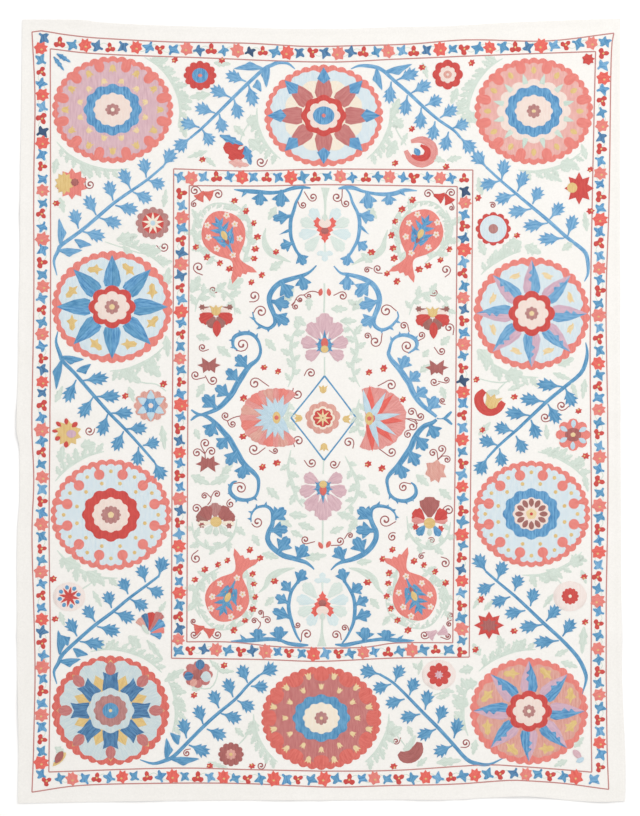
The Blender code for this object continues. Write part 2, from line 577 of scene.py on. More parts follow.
def ribbon_on(spots, widths, thread, level=0):
    sides = len(RIBBON_SECTION)
    deselect_all()
    bpy.ops.mesh.primitive_grid_add(x_subdivisions=sides - 1, y_subdivisions=len(spots) - 1, size=1)
    made = bpy.context.object
    grid = points_of(made.data)
    across = np.rint((grid[:, 0] + 0.5) * (sides - 1)).astype(int)
    along = np.rint((grid[:, 1] + 0.5) * (len(spots) - 1)).astype(int)
    line = np.array(spots) * CM
    ahead = np.gradient(line, axis=0)
    ahead /= np.maximum(np.linalg.norm(ahead, axis=1, keepdims=True), 1e-9)
    sideways = np.column_stack((ahead[:, 1], -ahead[:, 0]))
    section = np.array(RIBBON_SECTION)
    half = np.array(widths)[along] * CM / 2 * section[across, 0]
    flat = line[along] + sideways[along] * half[:, None]
    heights = section[across, 1] + np.where(section[across, 1] > 0, level * LAYER, 0.0)
    set_points(made.data, np.column_stack((flat, heights)))
    travelled = np.concatenate(([0.0], np.cumsum(np.linalg.norm(np.diff(line, axis=0), axis=1))))
    add_stitch_map(made.data, np.column_stack((travelled[along], half + 0.5 * CM)) / CM)
    bpy.ops.object.mode_set(mode="EDIT")
    bpy.ops.mesh.select_all(action="SELECT")
    bpy.ops.mesh.remove_doubles(threshold=MERGE_REACH)
    bpy.ops.mesh.select_all(action="DESELECT")
    bpy.ops.mesh.select_non_manifold(extend=False)
    bpy.ops.mesh.fill_holes(sides=0)
    face_outwards()
    made.data.materials.append(silks[thread])
    bpy.context.scene.collection.objects.unlink(made)
    return made


small_steps = itertools.cycle((0.0, 0.12, 0.24, 0.36, 0.48))


def copy_of(shape, x=0.0, y=0.0, turn=0.0, size=None, wide=None, level=0, thread=None):
    """A copy of a modelled shape at its place in centimetres, turned in degrees, in its layer.

    It gets this size along its own length and this width across it, both as a patch's size is given.
    """
    made = shape.copy()
    made.data = shape.data.copy()
    long = 1.0 if size is None else size / shape["size"]
    tall = long if wide is None else wide / shape["size"]
    stitch_map = made.data.uv_layers["stitches"].data
    rows = np.empty(2 * len(stitch_map), np.float32)
    stitch_map.foreach_get("uv", rows)
    shift = (STREAK_SHIFT[0] * x, STREAK_SHIFT[1] * y)
    stitch_map.foreach_set("uv", (rows.reshape(-1, 2) * (long, tall) + shift).ravel())
    height = (level + next(small_steps)) * LAYER
    matrix = (
        Matrix.Translation((x * CM, y * CM, height))
        @ Matrix.Rotation(math.radians(turn), 4, "Z")
        @ Matrix.Diagonal((long, tall, 1.0, 1.0))
    )
    made.data.transform(matrix)
    if long * tall < 0:
        made.data.flip_normals()
    if thread is not None:
        made.data.materials.clear()
        made.data.materials.append(silks[thread])
    return made


finished = []


def sew(name, shapes, cell=None):
    """Joins shapes to one piece of needlework and lays it on the cloth's folds.

    Wide patches are cut to cells of this size first, in metres, so that they follow the cloth
    between their edges.
    """
    deselect_all()
    for shape in shapes:
        bpy.context.scene.collection.objects.link(shape)
        shape.select_set(True)
    piece = shapes[0]
    bpy.context.view_layer.objects.active = piece
    bpy.ops.object.join()
    piece.name = name
    piece.data.name = name
    spots = points_of(piece.data)
    low, high = spots.min(0), spots.max(0)
    cuts = [
        (axis, place + share * half_width)
        for axis, folds in ((0, LENGTHWAYS_FOLDS), (1, ACROSS_FOLDS))
        for place, _, half_width in folds
        for share in FOLD_STATIONS
    ]
    if cell:
        cuts += [
            (axis, cell * k)
            for axis in (0, 1)
            for k in range(math.ceil(low[axis] / cell), math.ceil(high[axis] / cell))
        ]
    bpy.ops.object.mode_set(mode="EDIT")
    for axis, line in cuts:
        if low[axis] < line < high[axis]:
            at = (line, 0, 0) if axis == 0 else (0, line, 0)
            facing = (1, 0, 0) if axis == 0 else (0, 1, 0)
            bpy.ops.mesh.select_all(action="SELECT")
            bpy.ops.mesh.bisect(plane_co=at, plane_no=facing)
    bpy.ops.object.mode_set(mode="OBJECT")
    spots = points_of(piece.data)
    plain_x, plain_y = off_the_outline(spots[:, 0], spots[:, 1])
    spots[:, 2] += lift(plain_x, plain_y) + CLOTH_THICKNESS
    spots[:, 2] += np.maximum(pucker(spots[:, 0], spots[:, 1]), -DEEPEST_PUCKER)
    set_points(piece.data, spots)
    bpy.ops.object.shade_smooth_by_angle(angle=math.radians(SILK_SMOOTH_UNDER))
    finished.append(piece)
    return piece


# Shapes that repeat, each modelled once


def softened(outline):
    """An outline with its corners rounded off, as filling stitch leaves them."""
    return curve_through(outline, 2, closed=True)


LOBED_LEAF = softened(mirrored([
    (0.0, 0.05), (0.20, 0.07), (0.36, 0.20), (0.54, 0.45),
    (0.55, 0.29), (0.79, 0.52), (0.77, 0.27), (1.01, 0.33),
    (0.91, 0.14), (1.09, 0.0),
]))
BLADE = softened([
    (0.0, -0.06), (0.22, -0.26), (0.44, -0.50), (0.60, -0.30),
    (1.0, 0.06), (0.70, 0.16), (0.34, 0.20), (0.0, 0.08),
])
TONGUE = softened(mirrored([
    (0.0, 0.10), (0.18, 0.24), (0.34, 0.46), (0.42, 0.30),
    (0.60, 0.42), (0.66, 0.22), (0.84, 0.20), (1.0, 0.0),
]))
MAPLE_SPRIG = softened([
    (1.10, 0.10), (0.64, 0.36), (0.72, 0.86), (0.18, 0.70), (-0.32, 0.96), (-0.58, 0.54), (-1.0, 0.34),
    (-0.78, -0.10), (-0.84, -0.70), (-0.34, -0.68),
    (0.12, -0.98), (0.46, -0.62), (0.90, -0.60), (0.76, -0.18),
])
JACK_SPRIG = softened([
    (1.02, 0.56), (0.78, 0.88), (0.38, 0.54), (-0.2, 0.74), (-0.86, 1.04), (-0.76, 0.46), (-0.66, -0.05),
    (-1.04, -0.62), (-0.64, -0.82), (0.0, -0.56), (0.42, -1.08), (0.74, -0.62), (0.66, 0.12),
])
TEAR = mirrored([
    (0.0, 0.0), (0.14, 0.16), (0.34, 0.30), (0.58, 0.34), (0.80, 0.27), (0.94, 0.14), (1.0, 0.0),
])
KNOB = mirrored([(0.0, 0.40), (0.28, 0.46), (0.55, 0.50), (0.80, 0.42), (0.95, 0.22), (1.0, 0.0)])
RAY = mirrored([(0.0, 0.40), (0.16, 0.50), (0.48, 0.40), (0.78, 0.18), (1.0, 0.0)])
HALF_RAY = [(0.0, 0.0), (0.0, -0.40), (0.16, -0.50), (0.48, -0.40), (0.78, -0.18), (1.0, 0.0)]
BARBED_RAY = [
    (0.0, 0.06), (0.0, -0.40), (0.16, -0.50), (0.48, -0.40), (0.78, -0.18), (1.0, 0.0), (0.72, -0.04),
    (0.60, 0.16), (0.54, -0.02), (0.40, 0.20), (0.32, 0.02),
]
KITE = mirrored([(0.0, 0.0), (0.30, 0.50), (0.66, 0.26), (1.0, 0.0)])
CROWN_LEAF = mirrored([(0.0, 0.44), (0.30, 0.42), (0.66, 0.36), (0.98, 0.42), (0.80, 0.0)])
TREFOIL = softened(mirrored([
    (-0.66, 0.12), (-0.86, 0.58), (-0.44, 1.0), (0.0, 0.84),
    (0.06, 0.34), (0.46, 0.40), (0.78, 0.34), (1.06, 0.0),
]))
CLOUD = mirrored([
    (0.0, 0.22), (0.20, 0.42), (0.44, 0.52), (0.66, 0.50), (0.82, 0.38), (0.90, 0.20), (0.84, 0.0),
])
TULIP = mirrored([(0.0, 0.10), (0.22, 0.34), (0.62, 0.38), (1.0, 0.52), (0.78, 0.16), (1.06, 0.0)])
COMMA = [
    (-0.50, 0.05), (-0.20, 0.26), (0.12, 0.34), (0.40, 0.22), (0.62, 0.30), (0.52, 0.02), (0.24, -0.16),
    (-0.12, -0.22), (-0.46, -0.38), (-0.34, -0.10),
]
BIRD = [
    (-0.62, -0.06), (-0.26, 0.12), (-0.22, 0.42), (0.02, 0.22), (0.34, 0.30), (0.60, 0.14), (0.50, -0.10),
    (0.14, -0.18), (-0.06, -0.42), (-0.24, -0.16),
]
FROND = softened(mirrored([
    (0.0, 0.10), (0.20, 0.13), (0.38, 0.30), (0.62, 0.50),
    (0.66, 0.24), (0.80, 0.26), (1.0, 0.12), (0.94, 0.0),
]))
FLAME = mirrored([
    (-0.83, 0.0), (-0.78, 0.36), (-1.02, 0.64), (-0.80, 0.76), (-0.72, 0.94), (-0.46, 0.80), (-0.36, 0.92),
    (-0.16, 0.56), (0.0, 0.68), (0.16, 0.38), (0.34, 0.48),
    (0.48, 0.22), (0.64, 0.30), (0.74, 0.12), (1.0, 0.0),
])
THORN = mirrored([(0.0, 0.30), (0.30, 0.30), (0.66, 0.14), (1.0, 0.0)])
WEDGE = mirrored([(0.0, 0.08), (0.5, 0.20), (0.92, 0.40), (0.98, 0.28), (1.0, 0.14), (1.04, 0.0)])
PETAL = mirrored([
    (0.0, 0.08), (0.25, 0.24), (0.55, 0.40), (0.80, 0.42), (0.86, 0.26), (0.98, 0.18), (1.0, 0.0),
])
BUTTERFLY = [
    (-0.20, 0.0), (-0.42, 0.30), (-0.62, 0.62), (-0.12, 0.56), (0.02, 1.0), (0.24, 0.56), (0.70, 0.50),
    (0.44, 0.14), (0.56, 0.0), (0.44, -0.14), (0.70, -0.50), (0.24, -0.56), (0.02, -1.0), (-0.12, -0.56),
    (-0.62, -0.62), (-0.42, -0.30),
]
JAR_MOUTH = [(0.5, 0.0), (-0.4, 1.0), (0.2, 1.8), (-0.5, 2.8), (-1.3, 4.6)]
JAR_SIDE = curve_through([
    (0.8, 4.0), (2.6, 2.6), (4.8, 1.5), (6.6, 1.9), (9.0, 4.6), (12.0, 6.7), (15.2, 7.4), (18.4, 6.6),
    (21.0, 4.4), (22.6, 2.0), (23.0, 0.0),
], 2)
JAR = mirrored(JAR_MOUTH + JAR_SIDE)


def bays(angle):
    """A field's edge: eight bays with four scallops each, drawn in where the rays meet the rim."""
    drawn_in = 0.13 * (1 - abs(math.sin(4 * angle))) ** 2.5
    return 1 - drawn_in - 0.035 * (1 - abs(math.cos(16 * angle)) ** 0.8)


def bloom(petals, notch, per_petal=6):
    """A round flower with petals full round petals."""
    def reach(angle):
        return notch + (1 - notch) * abs(math.cos(petals * angle / 2)) ** 0.6
    return ring_outline(reach, petals * per_petal)


shapes = {
    "leaf": patch(LOBED_LEAF, "blue", 5.2),
    "maple": patch(MAPLE_SPRIG, "coral", 2.0),
    "jack": patch(JACK_SPRIG, "mid_blue", 1.7),
    "trefoil": patch(TREFOIL, "red", 1.8),
    "cinquefoil": patch(bloom(5, 0.62, 4), "cream", 1.1),
    "rosette_8": patch(bloom(8, 0.80, 4), "burgundy", 2.5),
    "rosette_12": patch(bloom(12, 0.86, 4), "red", 3.2),
    "dot": patch(wavy(5, 0.10, 2), "yellow", 0.6),
    "disc": patch(wavy(9, 0.012, 8), "coral", 18.0),
    "rim": patch(scallops(38, 0.042, 4), "coral", 20.0),
    "field": patch(scallops(40, 0.040, 4), "coral", 18.0),
    "bays": patch(ring_outline(bays, 160), "coral", 18.0),
    "ring_12": patch(scallops(12, 0.13, 5), "blue", 9.0),
    "ring_8": patch(scallops(8, 0.15, 6), "red", 7.8),
    "octagon": patch(wavy(8, 0.10, 6), "red", 6.0),
    "tear": patch(TEAR, "coral", 2.2),
    "knob": patch(KNOB, "coral", 4.0),
    "ray": patch(RAY, "blue", 9.5),
    "half_ray": patch(HALF_RAY, "blue", 9.5),
    "barbed_ray": patch(BARBED_RAY, "blue", 9.5),
    "kite": patch(KITE, "blue", 5.0),
    "blade": patch(BLADE, "blue", 8.0),
    "tongue": patch(TONGUE, "sage", 4.0),
    "star_8": patch(star(8, 0.62), "red", 4.9),
    "star_10": patch(star(10, 0.72), "coral", 5.0),
    "crown": patch(CROWN_LEAF, "deep_blue", 5.0),
    "cloud": patch(CLOUD, "pale_blue", 7.0),
    "tulip": patch(TULIP, "yellow", 2.2),
    "comma": patch(COMMA, "yellow", 2.6),
    "bird": patch(BIRD, "yellow", 5.0),
    "bud": patch(star(6, 0.66), "red", 1.2),
    "frond": patch(FROND, "mid_blue", 4.5),
    "flame": patch(FLAME, "poppy", 4.2),
    "thorn": patch(THORN, "mid_blue", 2.5),
    "wedge": patch(WEDGE, "coral", 6.0),
    "petal": patch(PETAL, "lilac", 6.0),
    "butterfly": patch(BUTTERFLY, "burgundy", 3.9),
    "ring_9": patch(scallops(9, 0.12, 6), "brick", 5.9),
    "jar": patch(JAR, "coral", 1.0),
}


# The borders: four frames of line stitch, and a band of sprigs between each two

FRAME_LINES = {  # side: places along the line, in centimetres
    "outer": (
        ((-96.3, 126.3), (-93, 126.7), (-87, 125.7), (-80, 124.8), (-73, 124.2), (-50, 123), (-24, 122.5),
         (-5, 121.5), (10, 121.7), (30, 122.3), (50, 123.7), (75, 123.3), (97.6, 125.9)),
        ((97.6, 125.9), (96.7, 117), (96, 70), (95, 37), (95.5, 0), (95.6, -30), (95, -70), (95.3, -110),
         (95.8, -126)),
        ((95.8, -126), (80, -124), (66, -123), (60, -123.2), (45, -124.3), (24, -124.8), (3, -125.3),
         (-24, -124.2), (-50, -124), (-79, -124.7), (-96.3, -127)),
        ((-96.3, -127), (-95.7, -110), (-95.3, -83), (-96.3, -43), (-95.7, -23), (-96.3, -3), (-95.7, 37),
         (-95.7, 77), (-95.3, 104), (-96.3, 126.3)),
    ),
    "outer_inside": (
        ((-90.2, 120.7), (-74, 119), (-40, 117.7), (0, 116.3), (26, 117.3), (60, 118.7), (91.5, 119.8)),
        ((91.5, 119.8), (90.4, 70), (89.7, 20), (90.2, -40), (90.0, -90), (90.2, -120.3)),
        ((90.2, -120.3), (66, -118.4), (53, -118), (26, -119.7), (3, -120), (-24, -119.5), (-50, -119),
         (-90.7, -120.3)),
        ((-90.7, -120.3), (-90.2, -80), (-90.6, -40), (-90.3, 0), (-90.1, 50), (-90.2, 120.7)),
    ),
    "inner": (
        ((-49.1, 80.7), (-25, 80.0), (0, 80.6), (25, 80.5), (50.6, 80.3)),
        ((50.6, 80.3), (50.3, 40), (50.1, 0), (49.7, -40), (49.4, -82.0)),
        ((49.4, -82.0), (25, -82.3), (0, -83.4), (-20, -82.8), (-49.8, -82.4)),
        ((-49.8, -82.4), (-49.7, -40), (-49.5, 0), (-49.2, 40), (-49.1, 80.7)),
    ),
    "inner_inside": (
        ((-43.9, 75.1), (-20, 75.0), (0, 75.4), (20, 75.2), (45.4, 74.8)),
        ((45.4, 74.8), (45.1, 30), (44.8, -10), (44.3, -45), (43.9, -77.2)),
        ((43.9, -77.2), (25, -77.3), (15, -78.7), (0, -79), (-15, -78.5), (-30, -77), (-44.7, -76.9)),
        ((-44.7, -76.9), (-44.5, -30), (-44.3, 10), (-44.0, 45), (-43.9, 75.1)),
    ),
}

SPRIG_CYCLE = ("jack", "maple", "jack", "trefoil")
BANDS = (  # first in the cycle, how many, the line that they stand on
    (3, 44, ((-87, 122.8), (-80, 121.7), (-60, 121), (-40, 120.4), (0, 119.4), (30, 120), (60, 121.2),
             (80, 121.8), (94.3, 123))),
    (3, 61, ((94.2, 119), (93.4, 90), (92.8, 50), (92.6, 0), (92.8, -30), (92.4, -60), (92.6, -90),
             (93.2, -118.5))),
    (0, 42, ((-87.2, -122.6), (-50, -121.8), (0, -122.7), (40, -122), (66, -120.8), (85, -122))),
    (1, 62, ((-93.2, 121), (-92.8, 80), (-92.9, 0), (-93.2, -50), (-92.8, -80), (-93.3, -121.2))),
    (0, 24, ((-47.2, 77.8), (0, 78.0), (47.8, 77.7))),
    (0, 40, ((47.8, 73.4), (47.6, 40), (47.3, 0), (47.0, -40), (46.8, -80.5))),
    (3, 22, ((-43.2, -79.5), (-20, -80.2), (0, -80.9), (20, -80.2), (42.5, -79.6))),
    (3, 40, ((-46.5, 72.4), (-46.7, 30), (-46.9, 0), (-47.2, -40), (-47.4, -80.2))),
)
CORNER_SPRIGS = (  # kind, x, y
    ("jack", -92.5, 124.2), ("jack", 94.8, 123.2), ("trefoil", -91.3, -123.4), ("jack", 91.0, -122.6),
)
MAPLE_REDS = ("coral", "poppy")
SPRIG_BLUES = (
    "mid_blue", "blue", "light_blue", "deep_blue", "mid_blue", "blue", "mid_blue", "blue", "deep_blue",
               "light_blue", "mid_blue", "blue", "mid_blue", "blue", "navy")


def along_a_line(route, count):
    """Evenly spaced places on the smooth line through a route, with the way it runs at each in degrees."""
    line = np.array(curve_through(route, 12))
    travelled = np.concatenate(([0.0], np.cumsum(np.linalg.norm(np.diff(line, axis=0), axis=1))))
    wanted = np.linspace(0, travelled[-1], count)
    x = np.interp(wanted, travelled, line[:, 0])
    y = np.interp(wanted, travelled, line[:, 1])
    way = np.degrees(np.arctan2(np.gradient(y), np.gradient(x)))
    return list(zip(x, y, way))


def sprig(kind, x, y, way):
    """One border sprig, set by eye: no two are quite alike."""
    x += hand.uniform(-0.25, 0.25)
    y += hand.uniform(-0.25, 0.25)
    size = hand.uniform(0.9, 1.08)
    if kind == "jack":
        turn = way + hand.choice((20, 75, 110, 160, 200, 255, 300)) + hand.uniform(-15, 15)
        return [copy_of(shapes["jack"], x, y, turn, 1.8 * size, 1.65 * size, 1, hand.choice(SPRIG_BLUES))]
    if kind == "maple":
        turn = way + 90 + hand.uniform(-35, 35)
        return [
            copy_of(shapes["maple"], x, y, turn, 2.35 * size, level=1, thread=hand.choice(MAPLE_REDS)),
            copy_of(shapes["dot"], x + hand.uniform(-0.4, 0.4), y - 0.5, 0, 0.42, 0.34, 3, "ochre"),
        ]
    turn = way + hand.choice((30, 90)) + hand.uniform(-12, 12)
    return [
        copy_of(shapes["trefoil"], x, y, turn, 1.82 * size, level=1),
        copy_of(shapes["dot"], x, y, hand.uniform(0, 90), 0.40, 0.32, 3, "ochre"),
    ]


def band_vine(route, count):
    """The thin pale vine that winds through a band of sprigs."""
    spots = []
    for i, (x, y, way) in enumerate(along_a_line(route, count * 2 - 1)):
        side = 1.0 if i // 2 % 2 else -1.0
        reach = side * (1.25 if i % 2 else 0.1)
        across = math.radians(way + 90)
        spots.append((x + reach * math.cos(across), y + reach * math.sin(across)))
    return ribbon(spots, (0.26, 0.26), "sage", steps=3)


def frame_line(route):
    count = max(8, int(math.dist(route[0], route[-1]) / 3))
    smooth = [(x, y) for x, y, _ in along_a_line(route, count)]
    return ribbon_on(smooth, [LINE_WIDTH] * count, "line_red", level=1)


def border(name, lines, bands, corners):
    made = [frame_line(side) for line in lines for side in FRAME_LINES[line]]
    for first, count, route in bands:
        made.append(band_vine(route, count))
        for i, (x, y, way) in enumerate(along_a_line(route, count)):
            made += sprig(SPRIG_CYCLE[(first + i) % 4], x, y, way)
    for kind, x, y in corners:
        made += sprig(kind, x, y, 0)
    sew(name, made)


# Medallions: a scalloped rim, a field with its figures, and a flower at the heart

EIGHTH = 45.0


def on_oval(oval, degrees, share):
    x, y, rx, ry = oval
    angle = math.radians(degrees)
    return x + rx * share * math.cos(angle), y + ry * share * math.sin(angle)


def round_an_oval(kind, oval, count, share, size, wide=None, first=90.0, turn=0.0, level=2, thread=None):
    """count copies of a shape round an oval, at a share of its reach, all turned alike from the middle."""
    made = []
    for i in range(count):
        angle = first + 360 * i / count
        x, y = on_oval(oval, angle, share)
        made.append(copy_of(shapes[kind], x, y, angle + turn, size, wide, level, thread))
    return made


def layers(oval, rows, level):
    """Discs on each other about an oval's middle, from rows of kind, reach in x, reach in y, thread."""
    x, y = oval[:2]
    return [
        copy_of(shapes[kind], x, y, 90, reach_y, reach_x, level + i, thread)
        for i, (kind, reach_x, reach_y, thread) in enumerate(rows)
    ]


def rim_and_field(oval, rim_width, rim_thread, field_thread, edge="field"):
    rx, ry = oval[2:]
    return layers(oval, (
        ("rim", rx, ry, rim_thread),
        (edge, rx - rim_width, ry - rim_width, field_thread),
    ), 0)


def knobbed_medallion(oval, field, ring, eye, inner_eye=None, first=105.0):
    """Twelve round knobs grow in from the rim, with a flower between each two."""
    made = rim_and_field(oval, 1.7, "coral", field)
    made += round_an_oval("knob", oval, 12, 0.96, -4.4, 3.4, first, thread="coral")
    made += round_an_oval(eye, oval, 12, 0.84, -2.6, 2.6, first + 15, thread="ochre")
    if inner_eye:
        made += round_an_oval(inner_eye, oval, 12, 0.60, -2.0, 2.4, first, thread="yellow")
    made += layers(oval, ring, 3)
    return made


def rayed_medallion(oval, rim, field, ray_reach, ray, ring, first=90.0):
    """Eight rays run out from the ring at the heart to the rim; one side of each is another blue."""
    rx, ry = oval[2:]
    made = rim_and_field(oval, 1.9, rim, field, "bays")
    base = 0.36
    for i in range(8):
        angle = first + EIGHTH * i
        x, y = on_oval(oval, angle, base)
        tip_x, tip_y = on_oval(oval, angle, ray_reach)
        length = math.dist((x, y), (tip_x, tip_y))
        made.append(copy_of(shapes["ray"], x, y, angle, length, 5.9, 2, ray[0]))
        made.append(copy_of(shapes[ray[2]], x, y, angle, length, 5.9, 3, ray[1]))
    made += layers(oval, ring, 4)
    return made


def ball_medallion(oval, ring, first=105.0):
    """Twelve balls stand on a narrow rim, with two rows of yellow dots inside them."""
    made = rim_and_field(oval, 1.6, "coral", "pale_blue")
    made += round_an_oval("wedge", oval, 12, 0.78, 3.3, 3.9, first, thread="coral")
    made += round_an_oval("disc", oval, 12, 0.745, 1.75, 1.75, first, level=3, thread="coral")
    made += round_an_oval("dot", oval, 12, 0.78, 0.7, first=first - 15, thread="ochre")
    made += round_an_oval("dot", oval, 12, 0.58, 0.7, first=first, thread="ochre")
    made += layers(oval, ring, 3)
    return made


def top_left_medallion():
    oval = (-69.4, 100.4, 20.3, 17.9)
    sew("medallion_top_left", knobbed_medallion(oval, "lilac", (
        ("ring_12", 9.8, 8.7, "blue"),
        ("ring_12", 6.5, 5.7, "blush"),
        ("rosette_8", 2.5, 2.1, "old_rose"),
        ("dot", 0.7, 0.7, "cream"),
    ), "tulip", "tulip"), WIDE_CELL)


def top_right_medallion():
    oval = (70.9, 99.9, 19.9, 17.9)
    made = knobbed_medallion(oval, "dusty_rose", (
        ("ring_12", 12.4, 10.8, "blush"),
        ("ring_12", 9.6, 8.7, "blue"),
        ("ring_12", 6.4, 5.5, "blush"),
        ("rosette_8", 2.4, 2.4, "old_rose"),
        ("dot", 0.8, 0.6, "yellow"),
    ), "tear")
    made += round_an_oval("ray", oval, 12, 0.52, 3.6, 1.8, 105.0, level=4, thread="mint")
    sew("medallion_top_right", made, WIDE_CELL)


def top_medallion():
    oval = (0.9, 98.4, 19.9, 17.1)
    made = rim_and_field(oval, 1.6, "coral", "pale_blue", "bays")
    made += round_an_oval("disc", oval, 8, 0.46, 4.4, 4.2, 90 + EIGHTH / 2, thread="cream")
    for i in range(8):
        angle = 90 + EIGHTH * i
        x, y = on_oval(oval, angle, 0.36)
        tip_x, tip_y = on_oval(oval, angle, 0.92)
        length = math.dist((x, y), (tip_x, tip_y))
        made.append(copy_of(shapes["ray"], x, y, angle, length, 6.0, 3, "dusty_red"))
        x, y = on_oval(oval, angle, 0.62)
        made.append(copy_of(shapes["kite"], x, y, angle, length * 0.58, 4.4, 4, "blue"))
    made += layers(oval, (
        ("octagon", 7.6, 7.0, "red"),
        ("ring_8", 5.6, 5.0, "blush"),
        ("disc", 3.6, 3.05, "blue"),
        ("dot", 0.7, 0.7, "coral"),
    ), 5)
    sew("medallion_top", made, WIDE_CELL)


def upper_left_medallion():
    oval = (-69.6, 34.7, 20.2, 18.8)
    made = rayed_medallion(oval, "coral", "pale_blue", 0.92, ("blue", "mid_blue", "half_ray"), (
        ("ring_8", 7.9, 7.2, "red"),
        ("ring_8", 5.9, 5.2, "blush"),
        ("rosette_8", 2.5, 2.5, "old_rose"),
        ("dot", 1.0, 1.0, "yellow"),
    ))
    made += round_an_oval("bird", oval, 8, 0.72, 4.6, first=90 + EIGHTH / 2, turn=60, thread="ochre")
    sew("medallion_upper_left", made, WIDE_CELL)


def upper_right_medallion():
    oval = (70.2, 32.5, 19.5, 18.9)
    made = rayed_medallion(oval, "coral", "pale_blue", 0.95, ("mauve", "light_blue", "barbed_ray"), (
        ("ring_8", 7.8, 7.6, "red"),
        ("ring_8", 5.6, 5.4, "blush"),
        ("rosette_8", 2.3, 2.3, "old_rose"),
        ("dot", 0.9, 0.9, "yellow"),
    ))
    made += round_an_oval("comma", oval, 8, 0.72, 3.6, first=90 + EIGHTH / 2, turn=70, thread="yellow")
    sew("medallion_upper_right", made, WIDE_CELL)


def lower_left_medallion():
    oval = (-70.0, -34.6, 20.2, 18.6)
    sew("medallion_lower_left", ball_medallion(oval, (
        ("ring_12", 9.7, 9.0, "red"),
        ("ring_12", 6.3, 5.9, "blush"),
        ("rosette_12", 3.4, 3.1, "old_rose"),
        ("dot", 1.1, 1.1, "yellow"),
    )), WIDE_CELL)


def lower_right_medallion():
    oval = (70.1, -34.3, 19.7, 17.8)
    made = ball_medallion(oval, (
        ("ring_12", 9.6, 8.6, "blue"),
        ("ring_12", 6.3, 5.6, "blush"),
        ("dot", 1.9, 1.9, "yellow"),
        ("dot", 0.6, 0.6, "red"),
    ))
    made += round_an_oval("tear", oval, 12, 0.13, 2.9, 2.6, level=6, thread="brown")
    sew("medallion_lower_right", made, WIDE_CELL)


def bottom_left_medallion():
    oval = (-70.1, -99.8, 19.7, 18.4)
    made = rim_and_field(oval, 1.2, "bright_coral", "bright_coral")
    made += round_an_oval("cloud", oval, 8, 0.36, 11.6, 11.0, 90 + EIGHTH / 2, thread="grey_blue")
    made += round_an_oval("kite", oval, 8, 0.32, 6.8, 6.4, 90 + EIGHTH / 2, level=3, thread="ochre")
    made += round_an_oval("tear", oval, 8, 0.90, -5.0, 5.4, 90, level=3, thread="dusty_red")
    made += round_an_oval("kite", oval, 8, 0.92, -7.0, 3.4, 90, level=2, thread="ochre")
    made += round_an_oval("crown", oval, 8, 0.36, 6.4, 6.2, 90, level=4, thread="deep_blue")
    made += layers(oval, (
        ("octagon", 8.0, 7.6, "grey_blue"),
        ("ring_12", 5.7, 5.4, "old_rose"),
        ("disc", 2.7, 2.6, "mid_blue"),
        ("dot", 0.6, 0.6, "yellow"),
    ), 5)
    sew("medallion_bottom_left", made, WIDE_CELL)


def bottom_medallion():
    oval = (0.1, -102.3, 20.1, 17.3)
    made = rim_and_field(oval, 2.4, "bright_coral", "dusty_red")
    made += round_an_oval("knob", oval, 12, 0.92, -3.6, 5.2, 90, thread="bright_coral")
    made += round_an_oval("tulip", oval, 12, 0.76, 2.4, 2.2, 105, level=3, thread="yellow")
    made += round_an_oval("tulip", oval, 12, 0.55, 2.0, 1.9, 90, level=3, thread="yellow")
    made += layers(oval, (
        ("ring_12", 9.7, 8.0, "mid_blue"),
        ("ring_12", 6.2, 5.3, "cream"),
        ("rosette_8", 2.3, 2.3, "old_rose"),
        ("dot", 0.6, 0.6, "yellow"),
    ), 4)
    sew("medallion_bottom", made, WIDE_CELL)


def bottom_right_medallion():
    oval = (69.3, -100.0, 19.8, 17.9)
    made = rayed_medallion(oval, "coral", "brick", 0.94, ("mauve", "blue", "barbed_ray"), (
        ("ring_8", 7.7, 6.9, "red"),
        ("ring_8", 5.5, 5.0, "blush"),
        ("rosette_8", 2.2, 2.2, "old_rose"),
        ("dot", 0.7, 0.7, "cream"),
    ))
    made += round_an_oval("bird", oval, 8, 0.76, 4.6, first=90 + EIGHTH / 2, turn=60, thread="ochre")
    sew("medallion_bottom_right", made, WIDE_CELL)


# Branches: a long blue stem with lobed leaves on both sides

